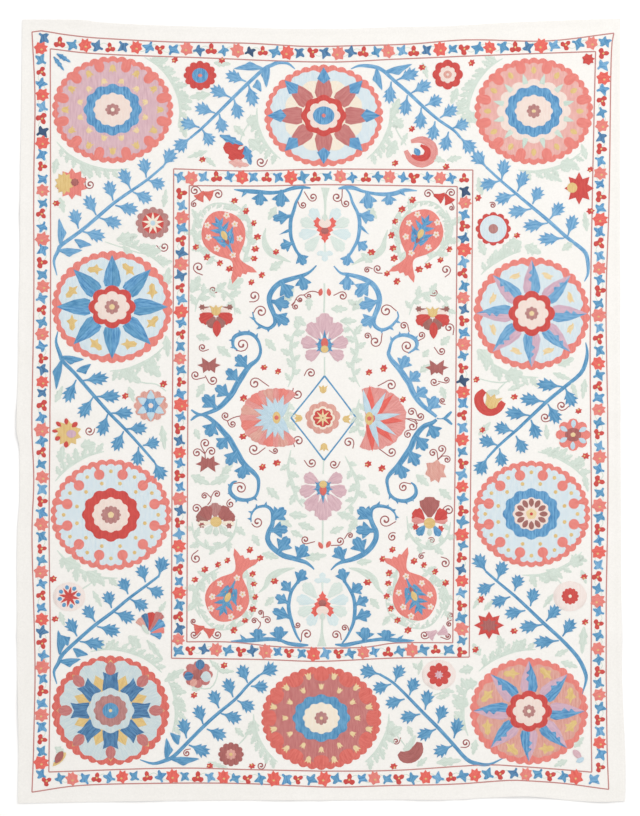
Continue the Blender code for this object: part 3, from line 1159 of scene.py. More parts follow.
BRANCHES = (  # stem; end leaf; leaves as centre x, y, base x, y; blades as base x, y, tip x, y
    {
        "stem": ((-88, 45.2), (-89, 50), (-87.5, 53.5), (-86.5, 55.3), (-80, 60), (-74, 65), (-69, 69.3),
                 (-63.5, 73.2), (-58, 77), (-52.5, 81.6)),
        "end": (-51, 84),
        "leaves": ((-81.7, 64.2, -80.8, 60.8), (-76.8, 69, -74.9, 65.3), (-70.2, 73.7, -69.3, 70.2),
                   (-65.2, 77.8, -63.5, 74), (-58.7, 81.2, -58.2, 77.8), (-75, 58.6, -79.4, 59.8),
                   (-69.5, 63, -73.7, 64.3), (-64, 67.4, -68.5, 68.5), (-59.2, 71.4, -62.7, 73),
                   (-55, 76, -57.8, 77)),
        "blades": ((-86.8, 55.5, -87, 64.2), (-82, 57, -76.5, 55), (-87.3, 53.5, -79.5, 53.3)),
    },
    {
        "stem": ((-8.7, 114), (-11, 115.8), (-14, 116.2), (-16.3, 115.3), (-19, 114), (-24.3, 109.2),
                 (-29.5, 104.2), (-34.5, 99.2), (-39.7, 94.2), (-43.5, 91)),
        "end": (-46.5, 88.7),
        "leaves": ((-28.8, 111.3, -25, 109.8), (-34, 106.3, -30.2, 104.5), (-39, 100.5, -35.3, 99.3),
                   (-43.8, 95.5, -40.5, 94.5), (-23, 104.5, -24.2, 109), (-28, 100.3, -29, 104),
                   (-33.2, 95.7, -33.9, 99), (-37.8, 91.2, -39.5, 93.7)),
        "blades": ((-19.5, 114.3, -29, 114.4), (-17.5, 115, -18.5, 107.8), (-21.3, 110.3, -20.2, 106.3)),
    },
    {
        "stem": ((10, 114), (12.5, 115), (15.5, 115), (18.5, 114.5), (21, 113.2), (24.5, 110), (29.5, 105.7),
                 (34.5, 101), (39.5, 96.8), (44.3, 93.5), (46.5, 91)),
        "end": (48.5, 89),
        "leaves": ((29.5, 112, 25.3, 110.3), (33.8, 108, 30.2, 106), (37.5, 103, 34.8, 101.8),
                   (42.7, 99.7, 39.7, 97.7), (46.3, 95.1, 43.7, 94.2), (23, 105.5, 23.4, 109.7),
                   (28.2, 101.5, 28.8, 105.2), (33.2, 97, 33.4, 101), (37.5, 93.3, 38, 96.5),
                   (41.7, 89.7, 42.5, 93)),
        "blades": ((21.5, 113, 30.4, 115.3), (18.5, 114, 20.1, 106.8)),
    },
    {
        "stem": ((87.8, 43.2), (89, 46), (88.8, 50.5), (87.5, 53.5), (82, 57.8), (76, 63.2), (70.5, 67.8),
                 (65.3, 72.2), (60, 76.7), (55, 81.3)),
        "end": (52.7, 84),
        "leaves": ((60.8, 80.8, 60.2, 77), (67, 77, 65.5, 73.2), (71.8, 71.8, 70.5, 69),
                   (78.6, 66.8, 76.3, 64), (83.5, 62.3, 82.3, 58.5), (56, 75.7, 59.6, 76.7),
                   (61, 71, 64.8, 72.2), (65.5, 66.5, 70, 67.3), (70.5, 61.8, 75.5, 62.6),
                   (75.5, 57.3, 81, 57.6)),
        "blades": (),
    },
    {
        "stem": ((-87.7, 26.5), (-88.3, 23), (-87, 19), (-86, 16.5), (-82, 12.5), (-76, 5.5), (-70.5, -0.7),
                 (-65, -6.3), (-60, -11.8), (-55.5, -17)),
        "end": (-53.7, -20.5),
        "leaves": ((-74, 10.8, -79.5, 10.1), (-70, 4.9, -75, 4.8), (-65.8, -0.7, -69.8, -0.7),
                   (-61, -5.8, -64.8, -6), (-56.8, -10.9, -59.3, -11.5), (-83.7, 5.8, -81.6, 10.3),
                   (-78.5, 0.6, -76, 4.5), (-72.5, -5.3, -71, -1), (-67.5, -10.4, -65.8, -6.8),
                   (-61, -15.2, -60.8, -12)),
        "blades": ((-86.5, 17, -88.5, 7.2), (-86.5, 18, -79, 16.9), (-81.3, 13.3, -76.5, 15.4)),
    },
    {
        "stem": ((88.2, 22.8), (88.7, 20), (88.3, 16.5), (86.5, 12.5), (81.3, 8.1), (75.3, 3.2), (70, -1.8),
                 (65, -6.5), (59.5, -11.3), (55.5, -15.5)),
        "end": (53.5, -18.7),
        "leaves": ((75, 8.7, 80.5, 8.1), (69.5, 3.8, 74.5, 3.1), (64.5, -0.8, 69.5, -1.5),
                   (60.8, -5.9, 64.3, -6.8), (55.7, -10.3, 59, -11.5), (83, 4.3, 81.3, 7.8),
                   (77.7, -1.4, 75.6, 2.3), (71.2, -6.3, 70, -3), (66.5, -11.2, 65, -8.3),
                   (60, -15.5, 59.5, -12.5)),
        "blades": (),
    },
    {
        "stem": ((-88, -91), (-89, -87), (-87.5, -84), (-86, -81), (-81, -76.3), (-75.5, -71.5),
                 (-69.5, -67), (-63.7, -62.2), (-58, -58), (-54, -55)),
        "end": (-53, -51),
        "leaves": ((-59.3, -54.2, -58.5, -57), (-65.3, -58.5, -64.3, -61), (-70.5, -63, -69.8, -65.6),
                   (-77, -67.5, -75.3, -70.2), (-82.8, -72, -81.3, -75), (-55.3, -60, -58, -58.8),
                   (-60.5, -64.3, -63.5, -62.7), (-65, -68.5, -69, -67), (-70, -73, -74.5, -71.8),
                   (-75.3, -77.5, -80.3, -76.8)),
        "blades": ((-84.3, -78, -86.5, -74.5), (-87, -81, -87.3, -73), (-82.5, -79.3, -77.7, -81.5),
                   (-87, -83.5, -80, -83)),
    },
    {
        "stem": ((87, -94.3), (88.3, -90), (88, -87), (85.5, -82), (80, -76), (74.5, -71), (70, -66.7),
                 (65, -62), (59, -57), (55, -53.5)),
        "end": (53, -50.3),
        "leaves": ((60, -53, 58.8, -56.3), (65.3, -57.5, 64.5, -60), (70.5, -62, 69.8, -65),
                   (77.3, -67.3, 75, -70), (82.5, -72, 80.5, -75), (55, -59, 57.8, -57.5),
                   (59.8, -63.2, 63, -61.9), (64.3, -67.2, 68, -66.5), (69.3, -71.8, 73.7, -71.2),
                   (74, -77, 79.2, -76.5)),
        "blades": (),
    },
    {
        "stem": ((-60.3, -116.2), (-56, -117.5), (-52, -116.5), (-49, -115), (-44.5, -110.5), (-39, -105),
                 (-34, -100.5), (-28.5, -96), (-24, -91), (-20.5, -88)),
        "end": (-17.3, -86.3),
        "leaves": ((-25.7, -87.5, -24.5, -90.5), (-30.5, -92, -29.3, -95.3), (-35.2, -96, -34, -99),
                   (-40.3, -101, -39.3, -104.3), (-45.5, -105.5, -44.8, -109), (-20.7, -91.8, -23.3, -91.7),
                   (-25, -98, -27.8, -96.5), (-29.5, -102, -33.3, -100.8), (-34.5, -107.5, -38, -106),
                   (-40, -113, -44, -111.3)),
        "blades": ((-47.5, -111, -50, -107), (-51.5, -116, -51.2, -109), (-50, -116, -40.5, -116.2)),
    },
    {
        "stem": ((60.5, -115.8), (56, -117.8), (52, -117.5), (48.5, -116), (44, -111), (39, -105.5),
                 (34, -100.5), (29, -95.3), (24, -90.5), (19.5, -87.7)),
        "end": (16.5, -87),
        "leaves": ((25.7, -87.5, 24.7, -90.2), (30.5, -91.8, 29.5, -94.7), (35.3, -96, 34.7, -99.5),
                   (40, -101, 39, -104), (45.2, -105.3, 44.3, -109), (20.3, -92, 23.3, -91),
                   (24.5, -97, 27.8, -96), (29.5, -101.8, 33, -101), (35, -107.5, 38.3, -106),
                   (40.5, -113, 43.8, -111.5)),
        "blades": (),
    },
)
STEM_WIDTHS = (0.3, 0.9, 1.3, 1.3, 1.2, 1.2, 1.1, 1.0, 0.9, 0.8)


def branch(name, parts, thread):
    stem = parts["stem"]
    made = [ribbon(stem, STEM_WIDTHS, thread, level=1)]
    end_x, end_y = parts["end"]
    last_x, last_y = stem[-1]
    way = math.degrees(math.atan2(end_y - last_y, end_x - last_x))
    made.append(copy_of(shapes["leaf"], last_x, last_y, way, 6.2, 5.2, 2, thread))
    for x, y, base_x, base_y in parts["leaves"]:
        way = math.degrees(math.atan2(y - base_y, x - base_x))
        reach = math.dist((x, y), (base_x, base_y)) + 2.7
        made.append(copy_of(shapes["leaf"], base_x, base_y, way, reach, 4.6, 2, thread))
    for base_x, base_y, tip_x, tip_y in parts["blades"]:
        way = math.degrees(math.atan2(tip_y - base_y, tip_x - base_x))
        reach = math.dist((tip_x, tip_y), (base_x, base_y))
        made.append(copy_of(shapes["blade"], base_x, base_y, way, reach, 4.2, 2, thread))
    sew(name, made)


# Blue boughs of the centre field

BOUGH_WIDTHS = (0.4, 1.2, 1.7, 1.8, 1.7, 1.5, 1.2, 0.8, 0.35)
HOOK_WIDTHS = (0.4, 1.1, 1.4, 1.3, 1.0, 0.9, 1.2, 1.6, 1.9, 2.0, 1.9, 1.8, 1.5, 1.0)
SPRAY_WIDTHS = (0.5, 0.8, 1.0, 1.2, 1.3, 1.2, 1.1, 1.0, 0.9)
SPINE_WIDTHS = (0.5, 1.3, 1.3, 1.0, 1.1, 1.4, 1.5, 1.3, 0.3)

BOUGHS = (  # widths, stem, leaflets as base x, y, tip x, y, width
    (BOUGH_WIDTHS, (
        (-1.5, 48.5), (-3.5, 46.5), (-6, 45.2), (-10, 44),
        (-13.5, 42.8), (-16, 40.5), (-17.2, 38), (-17, 35.5),
        (-16, 33), (-15.3, 31), (-15.5, 29), (-17.5, 27.5), (-20, 28.3), (-22, 30), (-22.8, 33),
    ), (
        (-6.5, 45.4, -5.6, 40.8, 4.6), (-13.4, 43.0, -10.3, 38.4, 4.8), (-16.6, 36.6, -11.2, 35.4, 4.6),
        (-15.6, 32.2, -11.3, 29.5, 4.6), (-20, 28.2, -21.6, 27.2, 1.6), (-17.5, 27.6, -17.6, 26.2, 1.8),
        (-22, 30.5, -23.9, 31.4, 1.4),
    )),
    (HOOK_WIDTHS, (
        (-27.8, 20.2), (-29.3, 21.8), (-29, 24.5), (-26.5, 25.8), (-23.5, 25.8), (-21.3, 24), (-20.3, 21.5),
        (-20.2, 19.3), (-21.3, 17), (-23.5, 15.3), (-25, 13.5), (-26.3, 11.5), (-28, 8.8), (-29.5, 6),
        (-31.5, 3.5), (-33.5, 1.5), (-36, 0), (-39.5, -1.2),
    ), (
        (-24.5, 14.3, -27.8, 18.0, 4.6), (-27.3, 9.9, -31.0, 13.4, 4.2), (-30.4, 5.0, -34.6, 7.8, 4.4),
        (-34.8, 0.9, -38.8, 4.6, 5.0), (-29.2, 23.6, -30.8, 23.6, 1.4), (-26.8, 25.8, -27.4, 27.1, 1.6),
        (-24, 25.8, -24, 27.2, 1.6), (-21.7, 24.6, -21.0, 26.0, 1.5), (-28.9, 21.3, -30.3, 21.1, 1.4),
    )),
    (SPRAY_WIDTHS, (
        (-6, 74.5), (-7, 72), (-8.3, 69.5), (-9, 67), (-10, 64),
        (-10.2, 61), (-10, 58), (-9.2, 55.5), (-8, 53),
        (-7, 52),
    ), (
        (-9.9, 65.0, -15.4, 64.2, 4.0), (-10.2, 60.4, -13.9, 58.8, 1.6), (-9.4, 56.0, -13.0, 54.8, 3.8),
        (-7.6, 52.6, -5.6, 49.2, 4.0),
    )),
    (SPINE_WIDTHS, (
        (-3.5, 74.3), (-7, 74.6), (-10, 74.1), (-13, 73.1), (-17, 72.7), (-21, 73), (-25, 73.3), (-29, 73.8),
    ), (
        (-13, 73.6, -13.6, 68.6, 5.0), (-20, 73.2, -20.6, 69.0, 4.6), (-25, 73.2, -26.5, 71.2, 2.0),
    )),
    (BOUGH_WIDTHS, (
        (4.3, 48.3), (6.5, 46), (9, 45.5), (12, 44.8), (15, 43.7), (17.5, 42), (19, 39.5), (19.5, 37),
        (19, 34.5), (18, 32), (17.5, 30), (18, 28.3), (20.2, 27),
        (23, 28), (25, 30), (25.8, 31.5), (25.4, 33.2),
    ), (
        (8.8, 45.6, 8.6, 40.8, 4.4), (16.2, 43.2, 12.2, 38.8, 4.8), (19.2, 36.6, 13.5, 35.0, 4.6),
        (18.0, 31.4, 14.0, 29.2, 4.6), (20.2, 27.2, 20.3, 25.7, 1.6), (23, 28, 24.3, 26.8, 1.5),
        (25, 30, 26.6, 29.3, 1.5),
    )),
    (HOOK_WIDTHS, (
        (29, 19.2), (31, 20.5), (32, 22), (31.5, 23.8), (29.5, 25), (27, 25.3), (24.8, 24.5), (23.5, 23),
        (22.8, 20.5), (22.5, 19), (23.5, 17), (25, 15.3), (26.5, 13.5), (28, 11.3), (29.5, 9), (30.5, 6.5),
        (31.8, 4.3), (33.5, 2.2), (35.5, 0.5), (38.5, -1.9),
    ), (
        (26.5, 13.8, 28.6, 17.8, 4.6), (29.2, 9.6, 32.4, 12.6, 4.2), (31.6, 4.6, 34.8, 7.2, 4.4),
        (35.8, 0.3, 38.4, 4.2, 5.0), (23.7, 23.6, 23.1, 24.9, 1.5), (26.4, 25.3, 26.1, 26.5, 1.5),
        (29.0, 25.2, 29.3, 26.5, 1.5), (31.2, 24.0, 32.4, 25.2, 1.4), (31.4, 20.9, 32.9, 20.2, 1.4),
    )),
    (SPRAY_WIDTHS, (
        (8, 74.4), (9.5, 72.5), (10.5, 69.5), (12, 66.5), (12.7, 64.3), (12.9, 62), (12.7, 59.5), (12.2, 57),
        (11, 54.5), (9.8, 52.5), (9, 51.6),
    ), (
        (12.4, 65.6, 17.2, 64.2, 4.0), (13.0, 61.6, 16.0, 58.8, 1.8), (12.0, 56.4, 14.9, 54.2, 3.8),
        (9.4, 52.4, 8.3, 48.9, 4.0),
    )),
    (SPINE_WIDTHS, (
        (5.8, 74.1), (8, 74.5), (11, 74.3), (14, 73.2), (18, 72.4), (22, 72.2), (25, 72.6), (28, 73.6),
        (32, 73.4),
    ), (
        (15.4, 73.2, 15.9, 68.0, 5.0), (22.5, 72.4, 22.7, 69.0, 4.4), (26.5, 73.2, 28.2, 71.6, 2.0),
    )),
    (HOOK_WIDTHS, (
        (-28, -23.4), (-29.3, -23.8), (-30.3, -25.5), (-30, -27.5), (-28, -29.2), (-25, -29.7), (-22.5, -29),
        (-21.3, -27.5), (-20.8, -25), (-21, -22.5), (-22.5, -20.5), (-24.5, -18.8), (-26.3, -16.8),
        (-27.7, -14.3), (-29, -12), (-30.5, -9.3), (-32.5, -7), (-34.5, -4.7), (-37, -2.5), (-39.5, -1.2),
    ), (
        (-25.6, -17.6, -26.6, -22.0, 4.6), (-28.3, -13.2, -30.9, -17.4, 4.4), (-31, -8.6, -34.0, -12.0, 4.4),
        (-35.4, -3.8, -37.6, -7.8, 5.2), (-30.2, -25.2, -31.1, -24.2, 1.4), (-30, -27.6, -31.2, -27.4, 1.4),
        (-28, -29.2, -28.4, -30.6, 1.5), (-24.6, -29.7, -24.3, -31.0, 1.6), (-22.3, -28.8, -21.2, -29.9, 1.5),
    )),
    (BOUGH_WIDTHS, (
        (-2.3, -52.8), (-3.2, -51.8), (-5, -50.5), (-7, -49.8), (-9.5, -49), (-12.5, -48.2), (-15, -46.5),
        (-16.8, -44.8), (-17.8, -42.5), (-17.3, -40),
        (-16.3, -38), (-16, -35.5), (-16.5, -33), (-18.5, -31.7),
        (-21.5, -32.3), (-23.2, -34.5), (-23.3, -37),
    ), (
        (-8, -49.5, -5.3, -45.2, 5.0), (-14.2, -47.2, -11.2, -42.6, 5.0), (-17.0, -39.9, -11.7, -39.4, 4.6),
        (-16.3, -36.4, -12.4, -33.0, 5.0), (-18.5, -31.8, -18.2, -30.1, 1.7),
        (-21.3, -32.2, -21.6, -30.9, 1.5),
        (-22.9, -33.9, -24.3, -33.4, 1.4), (-23.3, -36, -24.6, -35.8, 1.3),
    )),
    (SPRAY_WIDTHS, (
        (-6.7, -77), (-8, -75), (-9, -72.5), (-9.8, -70), (-10.5, -67.5), (-10.8, -65), (-10.5, -62.5),
        (-9.8, -60), (-8.5, -58), (-7.3, -56.5),
    ), (
        (-10.2, -69.0, -15.4, -66.6, 4.0),
        (-10.8, -64.2, -14.6, -61.8, 3.4), (-9.9, -60.4, -12.6, -57.2, 3.6),
        (-7.9, -57.4, -5.8, -53.4, 4.2),
    )),
    (SPINE_WIDTHS, (
        (-4.2, -78), (-7, -78), (-11, -77.4), (-13.5, -76.4), (-17, -76.0), (-21, -76.2), (-25, -76.5),
        (-30, -76.7),
    ), (
        (-13.8, -76.8, -14.1, -72.3, 5.2), (-21.2, -76.6, -20.9, -73.0, 4.8),
        (-25.4, -76.4, -27.0, -74.4, 2.0),
    )),
    (HOOK_WIDTHS, (
        (30, -23.8), (31.3, -25), (31.7, -27.3), (30.5, -29), (28, -30), (25, -29.5), (23, -27.8),
        (22.3, -25.5), (22, -23), (23, -21), (25, -19), (26.8, -16.8), (28.5, -14.3), (30, -12), (31, -9.5),
        (32.5, -7), (34.5, -5), (37, -4), (38.5, -2.9),
    ), (
        (26.2, -17.4, 27.4, -22.0, 4.6), (29.4, -13.0, 32.0, -17.6, 4.4), (31.8, -8.4, 34.8, -12.4, 4.6),
        (36.2, -4.4, 38.4, -8.4, 5.0), (23.2, -28, 22.6, -29.6, 1.5), (25.4, -29.7, 25.6, -31.1, 1.5),
        (28.2, -30, 28.8, -31.2, 1.5), (31.5, -27.8, 32.3, -27.5, 1.4), (30.3, -29.2, 30.9, -30.2, 1.4),
    )),
    (BOUGH_WIDTHS, (
        (3.3, -53), (5, -51.3), (7, -50.3), (9.5, -49.7), (12, -48.8), (14.8, -47.3), (17, -45),
        (18.3, -42.5), (18.3, -40), (17.3, -38), (16.5, -35.5), (16.8, -33), (18.5, -31.7), (21.5, -31.9),
        (23.5, -32.8), (24.8, -34.5), (25, -36.4),
    ), (
        (7.6, -50.0, 5.4, -45.8, 4.8), (14.4, -47.4, 11.6, -42.8, 5.2), (17.8, -39.9, 12.3, -39.6, 4.8),
        (16.8, -36.2, 12.9, -32.8, 5.0), (18.9, -31.6, 19.6, -30.0, 1.7), (22, -32, 22.6, -31.1, 1.5),
        (24, -33.2, 25.0, -32.8, 1.4), (24.9, -35.2, 26.1, -35.6, 1.4),
    )),
    (SPRAY_WIDTHS, (
        (7, -77.5), (8.5, -75.5), (9.8, -73), (10.8, -70.5), (11.2, -68), (11.3, -65), (10.8, -62),
        (9.5, -59.3), (8, -57), (7.4, -56),
    ), (
        (11.2, -69.2, 16.0, -67.4, 4.0), (11.4, -64.6, 15.2, -62.6, 3.8), (9.9, -60.6, 13.2, -58.2, 4.2),
        (8.0, -57.2, 6.8, -53.0, 4.2),
    )),
    (SPINE_WIDTHS, (
        (4.7, -77.8), (8, -78), (12, -77.2), (16, -76.5), (21, -76), (25, -76.4), (28, -76.6), (31, -76.5),
    ), (
        (14.4, -76.9, 14.8, -72.6, 5.2), (21.6, -76.3, 21.8, -73.3, 5.2), (25.6, -76.4, 27.5, -74.6, 2.0),
    )),
    ((1.0, 1.0, 0.9, 0.5), ((-38.5, -1.2), (-40.5, -1.2), (-41.8, -0.6), (-43.2, 0.4)), ()),
    ((0.9, 0.9, 0.9, 0.5), ((-40.2, -1.2), (-41.5, -1.7), (-42.4, -2.3), (-43.4, -3.1)), ()),
    ((0.5, 0.3, 0.8, 1.1, 0.6), ((38.6, -2.5), (40, -2.6), (41.2, -2.3), (42.3, -1.4), (43.5, -0.2)), ()),
    ((0.8, 1.0, 1.0, 0.6), ((41, -2.5), (42, -3), (42.8, -3.7), (43.7, -4.5)), ()),
)


def boughs():
    made = []
    for widths, stem, leaflets in BOUGHS:
        thread = "light_blue" if stem[0][0] > 0 and stem[0][1] > 0 else "mid_blue"
        made.append(ribbon(stem, widths, thread, level=1))
        for base_x, base_y, tip_x, tip_y, width in leaflets:
            way = math.degrees(math.atan2(tip_y - base_y, tip_x - base_x))
            reach = math.dist((tip_x, tip_y), (base_x, base_y))
            kind = "frond" if width > 3 else "thorn"
            if kind == "frond":
                reach, width = 1.12 * reach, 1.22 * width
            made.append(copy_of(shapes[kind], base_x, base_y, way, reach, width, 2, thread))
    sew("centre_boughs", made)


# Fine burgundy curls: middle x, y, reach, tail x, y, way they open (1 anticlockwise, -1 clockwise)

CENTRE_CURLS = (
    (-42, 73.4, 1.6, -39.6, 72.6, -1), (-34.3, 72.2, 1.6, -37.3, 72.4, 1),
    (-42.3, 68.9, 1.0, -41.4, 70.7, -1),
    (-2.7, 71.3, 1.5, -5.6, 73.1, -1), (-6, 68.7, 1.2, -8, 70.6, -1), (-40.8, 47.9, 1.9, -39.4, 45.3, 1),
    (-36, 40.4, 1.2, -34.6, 39.6, 1), (-22.3, 38.3, 1.9, -23.9, 36.4, -1), (-20, 33.1, 2.0, -22.8, 32.2, 1),
    (-39.5, 21.2, 1.3, -37.4, 20.5, 1), (-26.3, 22.1, 2.2, -28.4, 20.2, -1), (-41.8, 12, 1.5, -38.6, 11.2, 1),
    (-36, 10.3, 1.6, -38.6, 11.8, -1), (-22, 9.2, 1.9, -17.3, 8.2, -1), (-7.8, 5.7, 1.8, -9.2, 7.7, -1),
    (-3.4, 12.6, 1.6, -5.6, 11.7, 1), (-4.1, 38.3, 0.9, -5.7, 38.7, -1), (-7, 37.1, 0.8, -8.3, 37.4, -1),
    (-8.5, 34.8, 1.0, -8.6, 36.5, -1),
    (5.3, 71.3, 1.7, 7.1, 74, 1), (8.3, 69.2, 1.3, 6.7, 70.6, -1), (35.7, 72.4, 1.5, 37.8, 71.9, -1),
    (43.4, 72.7, 1.4, 41.2, 71.8, 1), (43.5, 67.7, 0.9, 43.6, 69.4, 1), (41.6, 47, 1.7, 41.3, 44.6, -1),
    (15.4, 47, 1.0, 17.2, 47.4, -1), (18.9, 47.4, 1.4, 20.5, 45.9, 1), (37.7, 39.5, 1.2, 36.4, 38.6, -1),
    (7.2, 38.3, 1.5, 4.2, 38.5, 1), (21.8, 33.4, 2.1, 25.2, 33.3, -1), (27.6, 28.4, 1.3, 29.4, 26.4, -1),
    (33.5, 25.3, 1.2, 32.4, 23.4, -1), (42.7, 27.7, 1.6, 44, 25.3, -1), (15.5, 25, 1.1, 16.9, 24, -1),
    (18.1, 23.2, 1.9, 20.4, 26, 1), (28.7, 21.6, 1.9, 29.8, 19.3, 1), (40.2, 20, 1.3, 37.7, 21.3, -1),
    (37.7, 9.7, 1.3, 39.6, 9.3, 1), (41.8, 10.4, 1.1, 39, 9.9, -1), (23.3, 8.6, 1.8, 18.9, 8.3, 1),
    (40.5, 3.4, 1.0, 41.5, 2.2, 1), (30.2, -0.3, 1.4, 32.2, -1.9, -1), (33.1, -1.8, 1.3, 30.2, -2.7, -1),
    (30.5, -5.1, 1.6, 28.6, -2.6, 1), (29, -7.8, 1.3, 29.9, -6.3, -1),
    (-31.8, -1.6, 1.3, -31, -3.4, 1), (-29.5, -4.3, 1.2, -31.3, -3.1, -1), (-38.5, -10.8, 1.6, -38.7, -14, 1),
    (-41.3, -14, 1.5, -38.8, -14.2, -1), (-36.5, -13.5, 1.5, -38.6, -14.1, 1),
    (-22.3, -12.7, 1.9, -18.5, -12.2, 1),
    (-15.3, -13.2, 1.0, -17.3, -13.1, -1), (-7.5, -10, 1.8, -8.8, -12, 1),
    (-3.1, -17.2, 1.6, -5.6, -16.4, -1), (-26.8, -25.7, 1.9, -29.2, -24.2, 1),
    (-38.8, -28.3, 1.1, -36.6, -28.9, -1), (-34.7, -27.7, 1.2, -36.6, -28.6, 1),
    (-41.5, -32.5, 1.5, -39.3, -33.5, -1),
    (-30.2, -31, 1.3, -30.1, -29.3, -1), (-21.2, -37, 1.9, -23, -37.6, -1),
    (-41.6, -49.1, 1.7, -40.9, -46.4, -1),
    (-42.5, -70.1, 0.9, -41.9, -71.6, 1), (-42.3, -74.5, 1.3, -40, -73.8, 1),
    (-34.5, -74.5, 1.4, -37, -74, -1), (-20.1, -67.2, 0.9, -19.2, -69, -1),
    (-17.9, -69.7, 1.2, -19.9, -68.8, 1),
    (-22.2, -69.9, 1.0, -20.2, -70.6, -1),
    (-7.8, -71.3, 1.0, -9.3, -71.2, -1), (-4.7, -74.4, 1.7, -6.6, -76.8, 1),
    (-5.2, -42.9, 1.4, -2, -43.5, 1),
    (9.2, -10.5, 1.8, 10.6, -12.5, -1), (23.5, -13.6, 1.6, 18.5, -12, -1), (4.3, -17.7, 1.5, 6.4, -16.8, 1),
    (37.3, -14, 1.4, 39, -16.3, -1), (40.2, -12.7, 1.5, 39.2, -15.9, -1), (42, -16.2, 1.2, 40.2, -15, 1),
    (27.5, -25.4, 1.6, 30, -24.3, -1), (42.5, -33.1, 1.7, 39.5, -34.5, 1), (21.5, -36.4, 2.1, 25, -36.8, 1),
    (23.8, -42, 1.5, 24.9, -40.7, -1), (36.9, -43.1, 1.0, 35.8, -42.5, 1),
    (33.5, -48.4, 1.0, 34.6, -47.2, -1),
    (41.3, -50.7, 1.6, 39.9, -48.6, 1), (6.3, -43.3, 1.4, 3.3, -44.8, -1), (9.7, -41.5, 1.0, 7.8, -42.6, 1),
    (5, -74.6, 1.5, 6.8, -76.3, -1), (7.9, -72.3, 1.1, 9.3, -73.3, -1), (34.5, -74.6, 1.4, 36.5, -75, 1),
    (42.2, -75, 1.1, 39.8, -75.3, -1), (43.2, -68.1, 0.9, 42.3, -69.6, 1), (42.7, -71, 0.9, 43.6, -69.6, -1),
)
FINE_STEMS = (
    ((-0.8, 39.4), (-2.5, 39.9), (-4.2, 39.6), (-5.6, 38.7),
        (-7, 38.6), (-8.2, 37.6), (-8.8, 36.4), (-9.9, 35.2)),
    ((-26.6, -1.6), (-28.5, -2.0), (-30, -2.6), (-31.2, -3.4)),
    ((28.2, -2.6), (30, -2.6), (31.4, -3.1), (32.2, -4.3)),
    ((-38.7, -13.8), (-38.6, -15), (-38.5, -16.2)),
    ((-36.6, -28.6), (-36.8, -30), (-37.8, -31.3)),
    ((-20.2, -70.2), (-20.3, -71.6), (-21.4, -73.1)),
    ((38.9, -16.4), (39.4, -15.8), (40.4, -15.0)),
)
CURL_WIDTHS = (0.75, 0.5, 0.42, 0.36, 0.32)
CURL_TURNS = 1.35


def curl(x, y, reach, tail_x, tail_y, way):
    """A spiral that opens from its middle and runs off along its tangent to the tail's end."""
    away = math.atan2(tail_y - y, tail_x - x)
    leaves_at = away - way * math.acos(min(1.0, reach / math.dist((x, y), (tail_x, tail_y))))
    route = []
    steps = 13
    for i in range(steps):
        t = i / (steps - 1)
        angle = leaves_at - way * 2 * math.pi * CURL_TURNS * (1 - t)
        r = reach * (0.08 + 0.92 * t**0.85)
        route.append((x + r * math.cos(angle), y + r * math.sin(angle)))
    route.append(((2 * route[-1][0] + tail_x) / 3, (2 * route[-1][1] + tail_y) / 3))
    route.append((tail_x, tail_y))
    return ribbon(route, CURL_WIDTHS, "curl_red", steps=2)


def curls(name, rows, stems):
    made = [curl(*row) for row in rows]
    made += [ribbon(stem, (0.34, 0.34), "curl_red") for stem in stems]
    sew(name, made)


# Pomegranate jars in the corners of the centre field

JARS = (  # mouth x, y, way it points
    (-26.0, 45.4, 115.5), (27.3, 45.8, 66), (-25.2, -48.8, 246.2), (25.2, -48.4, -66.3),
)
JAR_BLOSSOMS = (  # along, across
    (7.4, 0.2), (11.6, 4.1), (11.4, -4.2), (16.2, 5.0), (16.4, -4.8), (20.0, 3.6), (20.2, -3.6),
)
JAR_SPRIG_LEAVES = (  # along, across, way, reach, width
    (11.2, 0.9, 38, 3.2, 2.2), (11.2, -0.9, -38, 3.2, 2.2), (13.6, 1.3, 48, 3.2, 2.2),
    (13.6, -1.3, -48, 3.2, 2.2), (16.4, 0.8, 58, 2.8, 2.0), (16.4, -0.8, -58, 2.8, 2.0),
    (18.4, 0.3, 50, 2.2, 1.8), (18.4, -0.3, -50, 2.2, 1.8), (19.2, 0, 0, 2.0, 1.8),
)


def at_local(x, y, turn, along, across):
    """A place given along and across a motif, on the cloth."""
    c, s = math.cos(math.radians(turn)), math.sin(math.radians(turn))
    return x + along * c - across * s, y + along * s + across * c


